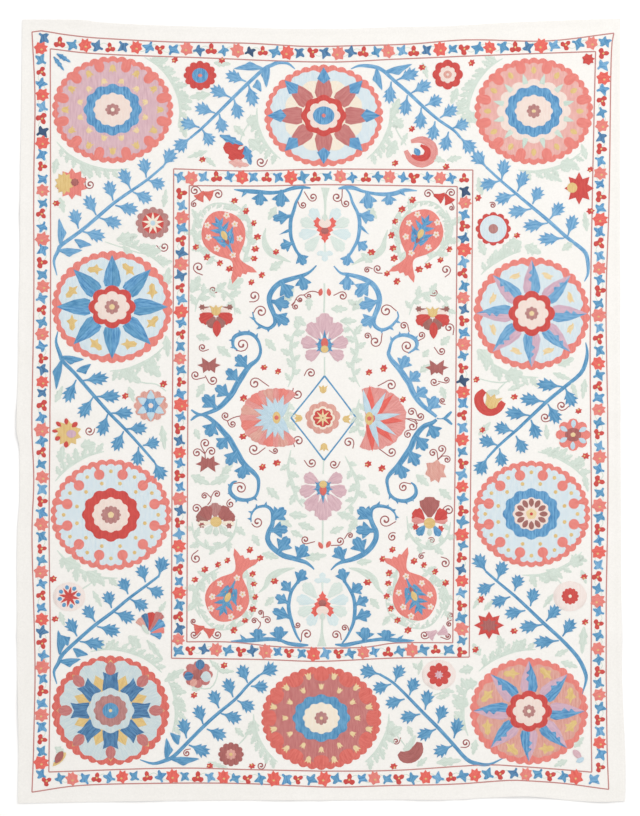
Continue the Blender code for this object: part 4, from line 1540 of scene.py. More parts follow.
def jars():
    made = []
    for x, y, turn in JARS:
        made.append(copy_of(shapes["jar"], x, y, turn))
        side = [(13 + 1.26 * (along - 13), across * 1.34) for along, across in JAR_SIDE[8::2]]
        halo = [at_local(x, y, turn, *spot) for spot in mirrored(side)]
        made += scroll(halo, 2.2, (0.3, 0.5, 0.6, 0.6, 0.5, 0.3), "sage", (1,))
        sprig_blue = "mid_blue" if y < 0 else "blue"
        stem = [at_local(x, y, turn, along, 0) for along in (8.0, 10.5, 13, 15, 17, 19.6)]
        made.append(ribbon(stem, (0.3, 1.0, 2.6, 2.8, 1.6, 0.9), sprig_blue, level=3))
        for along, across, way, reach, width in JAR_SPRIG_LEAVES:
            leaf_x, leaf_y = at_local(x, y, turn, along, across)
            made.append(copy_of(
                shapes["thorn"], leaf_x, leaf_y, turn + way, reach * 1.15, width * 1.25, 3, sprig_blue,
            ))
        eye_x, eye_y = at_local(x, y, turn, 12.6, 0)
        made.append(copy_of(shapes["tear"], eye_x, eye_y, turn, 3.6, 2.9, 6, "ochre"))
        eye_x, eye_y = at_local(x, y, turn, 11.0, 0)
        made.append(copy_of(shapes["tear"], eye_x, eye_y, turn, 2.4, 1.9, 5, "burgundy"))
        for along, across in JAR_BLOSSOMS:
            at_x, at_y = at_local(x, y, turn, along, across)
            made.append(copy_of(
                shapes["cinquefoil"], at_x, at_y, hand.uniform(0, 72), 1.15, level=2, thread="blush",
            ))
            made.append(copy_of(shapes["dot"], at_x, at_y, 0, 0.34, 0.34, 4, "ochre"))
    sew("pomegranate_jars", made, WIDE_CELL)


# The diamond at the middle and the two fans beside it

DIAMOND = ((1.2, 11.7), (11.8, -2.3), (1.0, -16.4), (-10.0, -2.2))
DIAMOND_TULIPS = ((0.7, 5.9, 90), (1.0, -10.7, -90), (-6.2, -2.4, 180), (7.2, -2.7, 0))  # x, y, way


def diamond():
    made = []
    for (x, y), (next_x, next_y) in zip(DIAMOND, DIAMOND[1:] + DIAMOND[:1]):
        middle = ((x + next_x) / 2 + 0.1, (y + next_y) / 2)
        made.append(ribbon(((x, y), middle, (next_x, next_y)), (0.6, 0.5, 0.6), "mid_blue", steps=6))
    for x, y, way in DIAMOND_TULIPS:
        made.append(copy_of(shapes["tulip"], x, y, way, 2.6, 3.0, thread="ochre"))
    heart = (0.6, -2.3, 5.9, 5.4)
    made += layers(heart, (
        ("ring_9", 5.9, 5.5, "brick"),
        ("ring_8", 4.1, 3.9, "cream"),
        ("ring_8", 3.3, 3.1, "red"),
        ("dot", 1.1, 1.1, "burgundy"),
    ), 0)
    made += round_an_oval("thorn", heart, 8, 0.04, 2.9, 1.2, 90, level=5, thread="yellow")
    sew("centre_diamond", made)


LEFT_FAN = (-14.8, -2.2, 11.8, 9.5)
RIGHT_FAN = (16.4, -2.5, 11.4, 9.9)


def fans():
    made = []
    x, y = LEFT_FAN[:2]
    wedges = 17
    for i in range(wedges):
        angle = 62 + i * 236 / (wedges - 1)
        base_x, base_y = on_oval(LEFT_FAN, angle, 0.36)
        tip_x, tip_y = on_oval(LEFT_FAN, angle, 1.02)
        reach = math.dist((base_x, base_y), (tip_x, tip_y))
        thread = "coral" if i % 4 == 1 else ("brick" if i % 2 else "rose")
        made.append(copy_of(shapes["wedge"], base_x, base_y, angle, reach, 4.6, i % 2, thread))
    for i in range(13):
        angle = 52 + i * 256 / 12
        base_x, base_y = on_oval(LEFT_FAN, angle, 0.08)
        made.append(copy_of(shapes["ray"], base_x, base_y, angle, 7.2 if i % 2 else 6.0, 2.9, 3, "sky_pale"))
    made += layers((x, y, 1, 1), (("disc", 1.3, 2.0, "ochre"), ("dot", 0.8, 0.8, "bright_coral")), 5)
    x, y = RIGHT_FAN[:2]
    for i, angle in enumerate((88, 62, 36, 10, -16, -42, -68, -92)):
        base_x, base_y = on_oval(RIGHT_FAN, angle, 0.10)
        tip_x, tip_y = on_oval(RIGHT_FAN, angle, 1.04)
        reach = math.dist((base_x, base_y), (tip_x, tip_y))
        made.append(copy_of(shapes["wedge"], base_x, base_y, angle, reach, 8.0, i % 2, "rose"))
    for angle in (103, 59, 8, -34, -74):
        base_x, base_y = on_oval(RIGHT_FAN, angle - 7, 0.12)
        made.append(copy_of(shapes["ray"], base_x, base_y, angle - 13, 9.8, 3.4, 3, "poppy"))
        base_x, base_y = on_oval(RIGHT_FAN, angle - 1, 0.14)
        made.append(copy_of(shapes["ray"], base_x, base_y, angle + 1, 8.8, 2.3, 4, "sky_pale"))
    made += layers((x - 0.3, y, 1, 1), (("disc", 1.4, 2.2, "ochre"), ("dot", 0.8, 0.8, "bright_coral")), 5)
    sew("centre_fans", made, WIDE_CELL)


# Lotus flowers above and below the diamond, and the pale palmettes beyond them

LOTUS_PETALS = (  # along, across, way, reach, width: the first points away from the diamond
    (3.4, 0.0, 0, 7.6, 6.8), (2.2, 1.6, 34, 6.6, 5.4), (2.2, -1.6, -34, 6.6, 5.4),
    (0.2, 2.0, 74, 6.0, 5.2), (0.2, -2.0, -74, 6.0, 5.2), (-1.6, 1.6, 116, 5.2, 4.8),
    (-1.6, -1.6, -116, 5.2, 4.8),
)


def lotus(x, y, way):
    made = []
    for along, across, turn, reach, width in LOTUS_PETALS:
        at_x, at_y = at_local(x, y, way, along, across)
        made.append(copy_of(shapes["petal"], at_x, at_y, way + turn, reach, width, 1, "lilac"))
    for turn in (-125, -80, -40, 40, 80, 125):
        at_x, at_y = at_local(x, y, way, 0.2, 0)
        made.append(copy_of(shapes["thorn"], at_x, at_y, way + turn, 3.4, 3.0, 2, "mid_blue"))
    made.append(copy_of(shapes["thorn"], *at_local(x, y, way, 0.6, 0), way, 5.0, 2.6, 3, "mid_blue"))
    made.append(copy_of(shapes["disc"], *at_local(x, y, way, 0.2, 0), 0, 2.4, 2.4, 3, "mid_blue"))
    made.append(copy_of(shapes["tear"], *at_local(x, y, way, -1.2, 0), way, 4.0, 3.6, 5, "bright_coral"))
    made.append(copy_of(shapes["disc"], *at_local(x, y, way, -1.0, 0), 0, 1.3, 1.2, 6, "ochre"))
    return made


PALMETTE_LOBES = (  # way, from the middle, reach, width, thread: one of each on both sides
    (33, 2.8, 5.8, 4.4, "ice"), (67, 2.8, 6.0, 4.4, "mint_pale"), (101, 2.6, 6.2, 4.4, "ice"),
    (137, 2.8, 6.4, 4.6, "mint_pale"),
)


def palmette(x, y, way):
    """A pale palmette of separate lobes, a small red flame at its heart, its foot to the cloth's end."""
    made = []
    for turn, away, reach, width, thread in PALMETTE_LOBES:
        for side in (-turn, turn):
            base = at_local(x, y, way + side, away, 0)
            made.append(copy_of(shapes["petal"], *base, way + side, reach, width, 0, thread))
    stem = [at_local(x, y, way, along, 0) for along in (-4.0, -6.0, -8.4)]
    made.append(ribbon(stem, (0.5, 0.7, 0.9), "mint_pale"))
    made.append(copy_of(shapes["trefoil"], *at_local(x, y, way, -8.4, 0), way + 180, 1.9, 2.7, 1, "ice"))
    made.append(copy_of(shapes["flame"], x, y, way + 180, 4.4, 4.1, 1))
    made.append(copy_of(shapes["rosette_8"], *at_local(x, y, way, -0.2, 0), 0, 1.4, 1.2, 3, "burgundy"))
    made.append(copy_of(shapes["disc"], *at_local(x, y, way, 2.3, 0), 0, 2.1, 1.5, 4, "blush"))
    made.append(copy_of(shapes["tear"], *at_local(x, y, way, 3.0, 0), way, 2.4, 2.6, 5, "sage"))
    return made


def lotuses_and_palmettes():
    made = lotus(1.2, 21.6, 90) + lotus(0.7, -25.4, -90)
    made += palmette(1.3, 60.2, 90) + palmette(0.5, -64.2, -90)
    for x, y, way in ((0.1, 40.9, -100), (2.4, 40.9, -80), (-0.8, -43.6, -60), (1.8, -45.6, 60)):
        made.append(copy_of(shapes["tear"], x, y, way, 2.6, 2.2, 1, "bright_coral"))
    for stem, widths in (
        (((1.2, 18), (1.2, 15), (1.2, 11.8)), (0.5,)),
        (((1.1, 42.5), (1.2, 39.5), (1.1, 36), (1, 32.8)), (0.6,)),
        (((0.7, -21), (0.8, -18.6), (0.9, -16.4)), (0.5,)), (((0.6, -36), (0.6, -40), (0.5, -45)), (0.6,)),
        (((1.3, 63.6), (1.4, 67), (1.4, 71), (1.5, 74.4)), (0.5, 0.7, 1.2, 3.0)),
        (((0.5, -67.6), (0.4, -71), (0.3, -75), (0.3, -78.4)), (0.5, 0.7, 1.2, 3.2)),
    ):
        made.append(ribbon(stem, widths, "sage"))
    sew("lotuses_and_palmettes", made, WIDE_CELL)


# Hanging flowers, butterflies and buds

def hanging_flowers():
    made = []
    for x, y, way, wing, heart, tail in (
        (-35.0, 33.0, -90, "red", "brown", "red"), (37.2, 32.4, -90, "red", "brown", "red"),
    ):
        for side in (-1, 1):
            made.append(copy_of(
                shapes["petal"], *at_local(x, y, way, 0.6, 0.8 * side), way + 62 * side, 5.2, 5.0, 1, wing,
            ))
            made.append(copy_of(
                shapes["petal"], *at_local(x, y, way, 1.6, 0.5 * side), way + 24 * side, 4.0, 4.2, 2, heart,
            ))
            made.append(copy_of(
                shapes["bud"], *at_local(x, y, way, -1.6, 4.6 * side), 0, 1.2, 1.1, 1, "brown",
            ))
            made.append(copy_of(
                shapes["thorn"], *at_local(x, y, way, -1.4, 4.0 * side),
                way - 100 * side, 2.2, 1.0, 1, "brown",
            ))
            made.append(copy_of(
                shapes["petal"], *at_local(x, y, way, -0.4, 1.6 * side),
                way + 96 * side, 3.4, 3.0, 0, "blush",
            ))
        made.append(copy_of(shapes["tear"], *at_local(x, y, way, 8.4, 0.3), way + 180, 5.6, 4.2, 3, tail))
        made.append(copy_of(shapes["tulip"], *at_local(x, y, way, 1.2, 0), way + 180, 3.4, 4.2, 4, "ochre"))
    x, y = -35.0, -36.6
    for across, along, turn, reach, width, thread in (
        (-0.2, 1.2, 2, 4.8, 5.0, "old_rose"), (-2.0, 0.4, 26, 4.8, 5.8, "burgundy"),
        (1.6, 0.4, -22, 4.8, 6.0, "burgundy"),
        (-2.8, -0.2, 58, 4.2, 4.4, "brown"), (2.6, -0.2, -56, 4.2, 4.4, "burgundy"),
        (-1.6, -0.6, 96, 4.6, 2.4, "cream"), (1.6, -0.6, -96, 4.6, 2.4, "cream"),
        (-1.2, -1.4, 145, 3.6, 3.2, "sage"), (0, -1.6, 180, 3.4, 2.4, "sage"),
        (1.2, -1.4, -145, 3.6, 3.2, "sage"),
    ):
        at_x, at_y = x + across, y + along
        made.append(copy_of(shapes["petal"], at_x, at_y, 90 + turn, reach, width, 1, thread))
    for bud_x, bud_y in ((-39.7, -38.0), (-30.6, -38.2)):
        made.append(copy_of(shapes["bud"], bud_x, bud_y, 0, 1.2, 1.1, 1, "burgundy"))
    made.append(copy_of(shapes["disc"], x, y - 0.3, 0, 1.9, 1.7, 3, "ochre"))
    x, y = 36.2, -37.0
    for across, along, turn, reach, width, thread in (
        (0, 1.6, 0, 6.8, 8.0, "burgundy"), (-1.8, 0.8, 52, 4.6, 5.2, "red"), (1.8, 0.8, -52, 4.6, 5.2, "red"),
        (-1.4, 0.2, 84, 4.6, 2.8, "rose"), (1.4, 0.2, -84, 4.6, 2.8, "rose"),
        (-1.6, -1.2, 142, 4.0, 3.4, "mid_blue"),
        (1.4, -1.2, -150, 4.0, 3.0, "blue"), (0, -1.6, 180, 3.0, 2.0, "sage"),
    ):
        made.append(copy_of(shapes["petal"], x + across, y + along, 90 + turn, reach, width, 1, thread))
    for bud_x, bud_y in ((31.5, -38.6), (39.9, -39.2)):
        made.append(copy_of(shapes["bud"], bud_x, bud_y, 0, 1.2, 1.2, 1, "red"))
    made.append(copy_of(shapes["disc"], x, y - 0.4, 0, 1.9, 1.8, 3, "ochre"))
    for x, y, way, size in ((-37.3, 15.4, -90, 1.0), (38.6, 14.6, -90, 1.0), (-37.7, -17.8, 90, 1.05)):
        made.append(copy_of(shapes["butterfly"], x, y, way, 3.9 * size, 3.9 * size, 1, "burgundy"))
    made.append(copy_of(shapes["maple"], 38.2, -20.0, -80, 3.7, 3.7, 1, "brick"))
    for x, y, way, thread in (
        (-39.0, 73.2, -125, "bright_coral"), (-39.4, 72.8, -20, "bright_coral"), (37.6, 72.0, -20, "red"),
        (41.4, 72.2, -60, "red"), (-38.8, -72.0, 195, "bright_coral"), (-39.0, -72.6, -30, "bright_coral"),
        (38.6, -73.2, 215, "lilac"), (38.8, -74.4, 25, "lilac"),
    ):
        made.append(copy_of(shapes["wedge"], x, y, way, 3.4, 5.0, 1, thread))
    sew("hanging_flowers", made)


CENTRE_BUDS = (
    (-28.8, 70.1), (-25, 66.6), (-22.4, 62.6), (-21.2, 58), (-21.9, 54), (-22.3, 50.8), (-19.7, 45.3),
    (-23.2, 42.9), (-15, 53), (-41.7, 54.6), (-38, 51.3), (-33.7, 49.3), (-30.5, 47.4),
    (30.5, 70.3), (27, 67.2), (24.7, 63.2), (23.5, 58.6), (24, 54.3), (24.4, 50.9), (22, 45.8), (25.3, 43.2),
    (16.8, 52.9), (42.8, 53.9), (39.8, 50.3), (35.7, 48.4), (32.7, 47.2),
    (-23.7, -46.3), (-20.3, -49), (-31.2, -49.8), (-34.3, -51.2),
    (-38.7, -52.8), (-42, -56.2), (-22.8, -54.3),
    (-22.4, -57.6), (-21.9, -62), (-22.7, -66), (-25.3, -69.8), (-29, -73), (-15.5, -56.7),
    (23.8, -46.2), (20.5, -49.3), (31, -50), (34.3, -51.3), (38, -53.5), (41.5, -57.3), (22.7, -54),
    (22.4, -57.4), (21.9, -61.7), (23.3, -65.8), (25.5, -69.7), (29, -73), (15.5, -57.1),
    (-19, 14.5), (-14.3, 13.2), (-25.8, 4.3), (20.9, 14.2), (16, 12.9), (27.3, 3.8), (-26, -8.5),
    (-19.5, -18.7), (-14.7, -17.3), (15.7, -17.7), (20.3, -19.1),
)


def buds(name, rows):
    made = []
    for x, y in rows:
        size = hand.uniform(1.15, 1.4)
        made.append(copy_of(shapes["bud"], x, y, hand.uniform(0, 60), size * 1.1, size * 0.9))
        spot = hand.uniform(0, 360)
        at_x, at_y = at_local(x, y, spot, 0.45, 0)
        made.append(copy_of(shapes["dot"], at_x, at_y, 0, 0.34, 0.28, 2, "ochre"))
    sew(name, made)


# Sage scrolls and leaves, the palest thread of all

SCROLL_WIDTHS = (0.3, 0.8, 1.3, 1.5, 1.3, 0.8, 0.3)


def leaf_between(kind, start, end, width, thread, level=0):
    """A leaf from its foot to its tip, both x, y."""
    way = math.degrees(math.atan2(end[1] - start[1], end[0] - start[0]))
    return copy_of(shapes[kind], *start, way, math.dist(start, end), width, level, thread)


def scroll(route, leaf_reach=3.6, widths=SCROLL_WIDTHS, thread="sage", sides=(1, -1)):
    """A pale scroll along a route, with lobed leaves that lean off it to its sides in turn."""
    made = [ribbon(route, widths, thread, level=-0.5)]
    for i, (x, y, way) in enumerate(along_a_line(route, max(3, len(route) * 2 - 1))[1:-1]):
        side = sides[i % len(sides)]
        reach = leaf_reach * hand.uniform(0.75, 1.15)
        lean = side * hand.uniform(38, 66)
        made.append(copy_of(shapes["tongue"], x, y, way + lean, reach, reach * 0.72, -0.7, thread))
    return made


MEDALLION_SCROLLS = (  # middle x, y, reach x, reach y; from and to in degrees
    (-69.4, 100.4, 22.6, 19.8, 62, -16), (-69.4, 100.4, 22.0, 20.2, 212, 284),
    (0.9, 98.4, 22.4, 18.8, 172, 230), (0.9, 98.4, 22.4, 18.8, 8, -50),
    (70.9, 99.9, 22.0, 19.9, 118, 196), (70.9, 99.9, 21.6, 20.2, 256, 318),
    (-69.6, 34.7, 22.0, 21.2, 84, 38), (-69.6, 34.7, 22.0, 21.4, -38, -92),
    (70.2, 32.5, 21.4, 21.0, 142, 100), (70.2, 32.5, 21.4, 21.4, 218, 276),
    (-70.0, -34.6, 21.8, 21.2, 148, 96), (-70.0, -34.6, 21.6, 21.2, 214, 276),
    (70.1, -34.3, 21.4, 20.8, 84, 36), (70.1, -34.3, 21.4, 20.6, 262, 322),
    (-70.1, -99.8, 21.6, 20.6, 108, 38), (-70.1, -99.8, 22.0, 20.8, 32, -22),
    (69.3, -100.0, 21.8, 20.6, 140, 84), (69.3, -100.0, 22.2, 20.4, 204, 152),
    (0.1, -102.3, 22.6, 19.2, 176, 230), (0.1, -102.3, 22.6, 19.2, 4, -50),
)
FRAME_LEAVES = (  # foot x, y, tip x, y, width
    (-46.5, 97, -45, 91, 3.4), (-80, 82, -76, 78, 4.4), (-88, 84, -89, 79, 2.6), (-87, 71, -85.6, 66, 2.6),
    (-52.4, 68, -51.6, 74, 2.2), (-68, 57, -61, 58.5, 4.2),
    (-60, 53, -53, 53.5, 3.8), (-66, 55, -62, 50.6, 2.6),
    (-52, 41, -50.6, 48, 3.6), (-66, 13.6, -60, 9.4, 4.6),
    (-58, 16, -53.4, 11.4, 4.8), (-51.6, 25, -51, 18, 3.0),
    (-64, 8, -62.4, 3, 2.6), (-88.5, 3, -86, 8.4, 2.4), (-53, -5, -52, -13, 2.6), (-80, -11.6, -75, -11, 4.2),
    (-87, -17, -86, -11.6, 3.4), (-86, -49.6, -80, -52, 4.6), (-78, -53.6, -72, -57.6, 4.6),
    (-76, -60, -73, -65.4, 2.0), (-54, -67, -51.6, -63.4, 2.0), (-87, -67, -85.6, -71.6, 2.2),
    (-64, -75, -60, -79, 4.0), (-58, -76.4, -52.6, -83, 2.4), (-52, -90, -45.6, -86, 3.2),
    (-49.4, -97, -45, -98.4, 4.4), (-88.6, -112, -85, -114.6, 2.6), (-37, -83, -32.6, -87.4, 1.8),
    (-34.4, -86.6, -28.8, -86.8, 2.0), (-43, -93, -39.4, -91.6, 2.2), (-28.6, -105.6, -25.6, -108.6, 2.2),
    (-22.4, -103, -21.8, -109, 3.4), (-37.6, -117, -31, -119, 1.8), (-37, 105.6, -44, 104.4, 3.2),
    (-29, 95, -25.4, 91.6, 2.6), (-24.8, 97, -21.6, 96.4, 4.2), (-24, 90.4, -19.6, 86.6, 4.4),
    (-38, 86.6, -44.6, 84.4, 2.2), (-38.6, 84.6, -35, 81.4, 2.0), (-35.6, 116, -30, 115.6, 2.6),
    (26, 104, 23.4, 97, 3.4), (24.6, 97, 27.4, 94.4, 4.2),
    (25, 90, 22, 84.4, 4.4), (28.8, 92.6, 26.6, 88.4, 1.8),
    (36.6, 84.8, 41.6, 83, 2.4), (42, 83.6, 47, 84.6, 2.4), (45.4, 107.4, 43.4, 102.4, 3.2),
    (33.8, 116, 35.6, 110.8, 2.2), (52, 96, 48.4, 100.4, 4.0), (80, 82.8, 85.6, 81.6, 4.6),
    (88.4, 84, 86.8, 89, 2.4), (76, 79, 80.4, 76.4, 2.4),
    (88.6, 60, 87.8, 66.4, 2.4), (53.6, 72, 52.4, 78, 3.0),
    (66, 56.6, 61.4, 55.2, 3.6), (68, 55, 73.4, 52.6, 4.2),
    (54.6, 52, 52.6, 57, 3.0), (80.4, 53.6, 84.6, 56.6, 2.6),
    (52.2, 20.4, 57.4, 15.4, 4.8), (61.6, 12.4, 67.4, 12.6, 4.4), (79, 15.4, 84.4, 17.6, 3.6),
    (77.4, 12.6, 83.4, 10.4, 2.2), (83.4, 9.6, 85.4, 4.4, 1.8),
    (88, 10.6, 87.2, 4, 2.4), (62.4, 7, 68, 9, 2.0),
    (52.6, -8, 56.6, -3.6, 2.6), (75.4, -9.4, 75, -4.4, 2.0),
    (84.6, -18, 88.4, -15, 3.6), (80, -15, 73.4, -13.2, 3.0),
    (87.6, -21, 89, -27, 2.2), (83, -50.6, 87.6, -48.4, 4.4),
    (78, -52.6, 74.4, -57.4, 4.6), (77.4, -61, 74, -65.6, 2.0),
    (86.8, -53, 88.4, -57.6, 2.2), (53.6, -61.4, 50.6, -66, 2.0), (54.4, -66.4, 57.4, -63, 2.0),
    (87.6, -72, 87, -81, 3.0), (78, -81.6, 82.6, -79.4, 2.2),
    (64, -79.4, 67.8, -76.6, 4.4), (60.6, -79, 59, -74.6, 3.4),
    (53, -81.4, 50.6, -77.4, 3.0), (80, -83.6, 85.6, -85.4, 2.6), (50.6, -85.6, 46, -86.8, 3.4),
    (52, -90.6, 46.4, -91.4, 4.2), (49, -98, 45.4, -96.4, 4.4), (51.6, -109.6, 50.6, -114.6, 2.6),
    (38.6, -117.2, 46.8, -116.4, 3.2), (84.4, -112, 87.6, -108.6, 2.6), (82, -116.4, 77.6, -118.4, 2.4),
    (30.6, -84, 33, -86.6, 1.8), (33.6, -83, 32.4, -88, 1.8),
    (40, -93, 44.6, -93.6, 2.2), (38.4, -95.6, 43, -94.6, 2.0),
    (29, -105, 30.6, -108.6, 2.2), (23.6, -103.4, 22.6, -110.4, 3.6), (24, -107, 27, -105.4, 3.6),
    (30, -110.6, 27.6, -113.4, 2.4), (32, -118.4, 35.4, -115.4, 2.2), (45.6, 100.6, 48, 104.4, 3.6),
)
PALE_VINES = (
    ((-73, 79), (-80, 82.4), (-86, 85)), ((-57, 117.6), (-52, 114), (-48.4, 108.6), (-46.4, 100)),
    ((-52, 56), (-58, 52.4), (-66, 54.4), (-72, 56.4)), ((-66, 13), (-60, 9.6), (-55, 9), (-51.6, 6.6)),
    ((66, 12), (61.6, 9.6), (56.6, 9.8), (52, 11)), ((61.6, 9.6), (59.4, 7.4), (58, 5)),
    ((78, -55), (80, -57.4), (81.6, -59)), ((-76, -57), (-79, -59), (-81, -60.6)),
    ((24, 96), (26.4, 91.4), (28.4, 88.6)), ((-24, 96), (-26, 92.6), (-27, 89.6)),
    ((-43, -92), (-37, -92.4), (-34.6, -88.4), (-34.4, -84)), ((44, -93), (38, -94.6), (36.6, -97)),
    ((-22, -104), (-25.4, -109), (-28, -111.6)), ((23.4, -106), (26.4, -109.4), (28.4, -112)),
)


def frame_foliage():
    made = []
    for x, y, reach_x, reach_y, start, end in MEDALLION_SCROLLS:
        parts = max(4, round(abs(end - start) / 14))
        oval = (x, y, reach_x, reach_y)
        route = [on_oval(oval, start + (end - start) * i / parts, 1.0) for i in range(parts + 1)]
        outside = 1 if end > start else -1
        made += scroll(route, 4.0, sides=(-outside, -outside))
    for x, y, tip_x, tip_y, width in FRAME_LEAVES:
        made.append(leaf_between("tongue", (x, y), (tip_x, tip_y), width * 1.15, "sage", -0.7))
    for vine in PALE_VINES:
        made.append(ribbon(vine, (0.4, 0.5, 0.35), "sage"))
    sew("frame_foliage", made)


CENTRE_LEAVES = (  # foot x, y, tip x, y, width
    (-4, 38, -4, 33.4, 2.4), (-8.6, 31.4, -5, 28.4, 2.6),
    (-18.5, 24, -15, 20, 2.4), (-34.5, 21.5, -30, 18, 2.6),
    (-41.5, 25, -37, 24, 2.4), (-39, 9, -41.5, 4.5, 2.4),
    (-43.2, 39.6, -40.4, 45, 3.8), (-31, 41, -25.8, 44, 4.0),
    (3.5, 34, 9, 34, 2.4), (6.5, 30, 12, 30, 2.4), (9, 37, 12, 35, 1.8), (34, 18, 36, 20.5, 2.0),
    (40, 22, 43, 25, 2.4), (40, 8, 41.5, 4, 2.2),
    (-42, -6, -40.5, -9.5, 2.0), (-43.2, -21.5, -37, -24.5, 2.8),
    (-30.7, -21.5, -37, -24.5, 2.8), (-18, -25.5, -13.8, -29.5, 2.4), (-10.5, -34.5, -4.5, -35, 2.6),
    (-7.5, -37.5, -2, -39.5, 2.4), (-10, -40, -6, -42, 2.0), (39.5, -26, 43.5, -29.5, 2.4),
    (16, -24.5, 19.7, -28, 2.4), (5.5, -34, 11.7, -36, 2.6), (3, -40.5, 7.7, -38.7, 2.2),
    (-22.8, -41.3, -20.5, -45, 2.2), (-19.5, -47.5, -14, -49, 2.4), (-5, -49, 2, -48, 2.6),
    (12, -50.5, 17, -50, 2.2), (-15.8, -62, -18.7, -65, 2.2), (16.5, -62.5, 19.5, -66, 2.2),
    (23, -68.3, 20.5, -71.5, 2.0), (31.8, -21.3, 36, -25, 2.6),
    (-15, 68, -17.6, 63.6, 2.4), (15.6, 68, 18.6, 64, 2.4),
    (-17, 47, -12.6, 50, 2.6), (17, 49.6, 13.4, 52.6, 2.6),
    (-33, -21, -29.4, -17.6, 2.4), (33, 13, 36.4, 15.6, 2.2),
    (-12, 36, -9, 41, 2.4), (10.6, 33.6, 14, 37.6, 2.4),
    (-14, -36, -9.6, -38.6, 2.4), (12, -36, 9, -40.6, 2.4),
    (-40, 61, -42.6, 66, 2.2), (41.6, 57, 43.6, 62.6, 2.2),
    (-41, -62, -43.4, -66.4, 2.2), (40.4, -60, 43, -64.6, 2.2),
)
CENTRE_SCROLLS = (
    ((13, 8), (11, 12), (10.6, 16), (12, 20), (11.4, 25), (8.4, 29)),
    ((-11, 8), (-9.4, 12), (-9, 16), (-10, 20), (-9.4, 25), (-6.4, 29)),
    ((8, -15), (10.5, -20), (12.4, -25), (11, -30), (8, -33)),
    ((-10, -13), (-11, -19), (-9.6, -24), (-8, -29), (-6, -32)),
    ((-28, -36), (-29, -41), (-33, -45), (-38, -45.4), (-42, -42), (-43, -37)),
    ((28.6, -35), (29.6, -41), (33.6, -45), (38, -45.4), (42, -42), (43.2, -37)),
    ((-42, 33), (-41, 37), (-38, 40), (-33, 40), (-29.4, 37), (-28.6, 32)),
    ((29.4, 32), (31, 36.6), (34.6, 39), (39, 38.6), (42, 35.6), (43, 31.6)),
    ((-28.4, 45), (-26, 49), (-24.4, 54), (-23.6, 60), (-25.6, 66), (-30.6, 70)),
    ((29, 45.6), (27, 49.6), (25.8, 54), (25.8, 60), (28.6, 66), (32.4, 69)),
    ((-27, -48.6), (-25, -53), (-24, -58), (-24.2, -63), (-27, -68), (-31, -71.6)),
    ((27, -49), (25.4, -53), (24.6, -58), (24.6, -63), (27.4, -68), (31.4, -71.4)),
    ((-33.4, 49), (-38, 52), (-41.6, 56.6), (-42.4, 62), (-40, 67)),
    ((34.4, 49), (39, 53), (42.6, 57.6), (43.6, 62), (41.6, 67)),
    ((-33.4, -52), (-38, -55), (-41.4, -59), (-42.4, -64), (-40, -69)),
    ((33, -52), (37.6, -55), (41, -59), (42.4, -64), (40, -69)),
    ((-12.4, 4), (-11.4, 1), (-11.2, -2), (-11.6, -5), (-12.6, -8)),
    ((12.8, 4), (12.2, 1), (12, -2), (12.2, -5), (13, -8)),
)
CRESCENTS = (
    ((-10, 49.6), (-13.4, 51), (-16.6, 52.6), (-18.4, 55), (-19, 58), (-18.4, 61)),
    ((10.2, 48.6), (13.8, 50.6), (17.8, 51.8), (20.4, 54), (21.2, 57), (22.2, 60.4)),
    ((-8.7, -52.3), (-12, -53), (-15, -54.2), (-17.3, -56), (-18.6, -58.6), (-20.8, -60.6)),
    ((9.2, -52.3), (12.4, -53), (15.4, -54.4), (17.8, -56.4), (19, -59), (20.8, -61)),
)
CRESCENT_WIDTHS = (0.3, 1.5, 2.4, 2.2, 1.3, 0.3)


def centre_foliage():
    made = [ribbon(route, CRESCENT_WIDTHS, "sage", level=-0.5) for route in CRESCENTS]
    for route in CENTRE_SCROLLS:
        made += scroll(route, 3.7, (0.3, 0.8, 1.3, 1.5, 1.2, 0.8, 0.3))
    for x, y, tip_x, tip_y, width in CENTRE_LEAVES:
        made.append(leaf_between("tongue", (x, y), (tip_x, tip_y), width * 1.35, "sage", -0.7))
    sew("centre_foliage", made)


# Small flowers of the frame

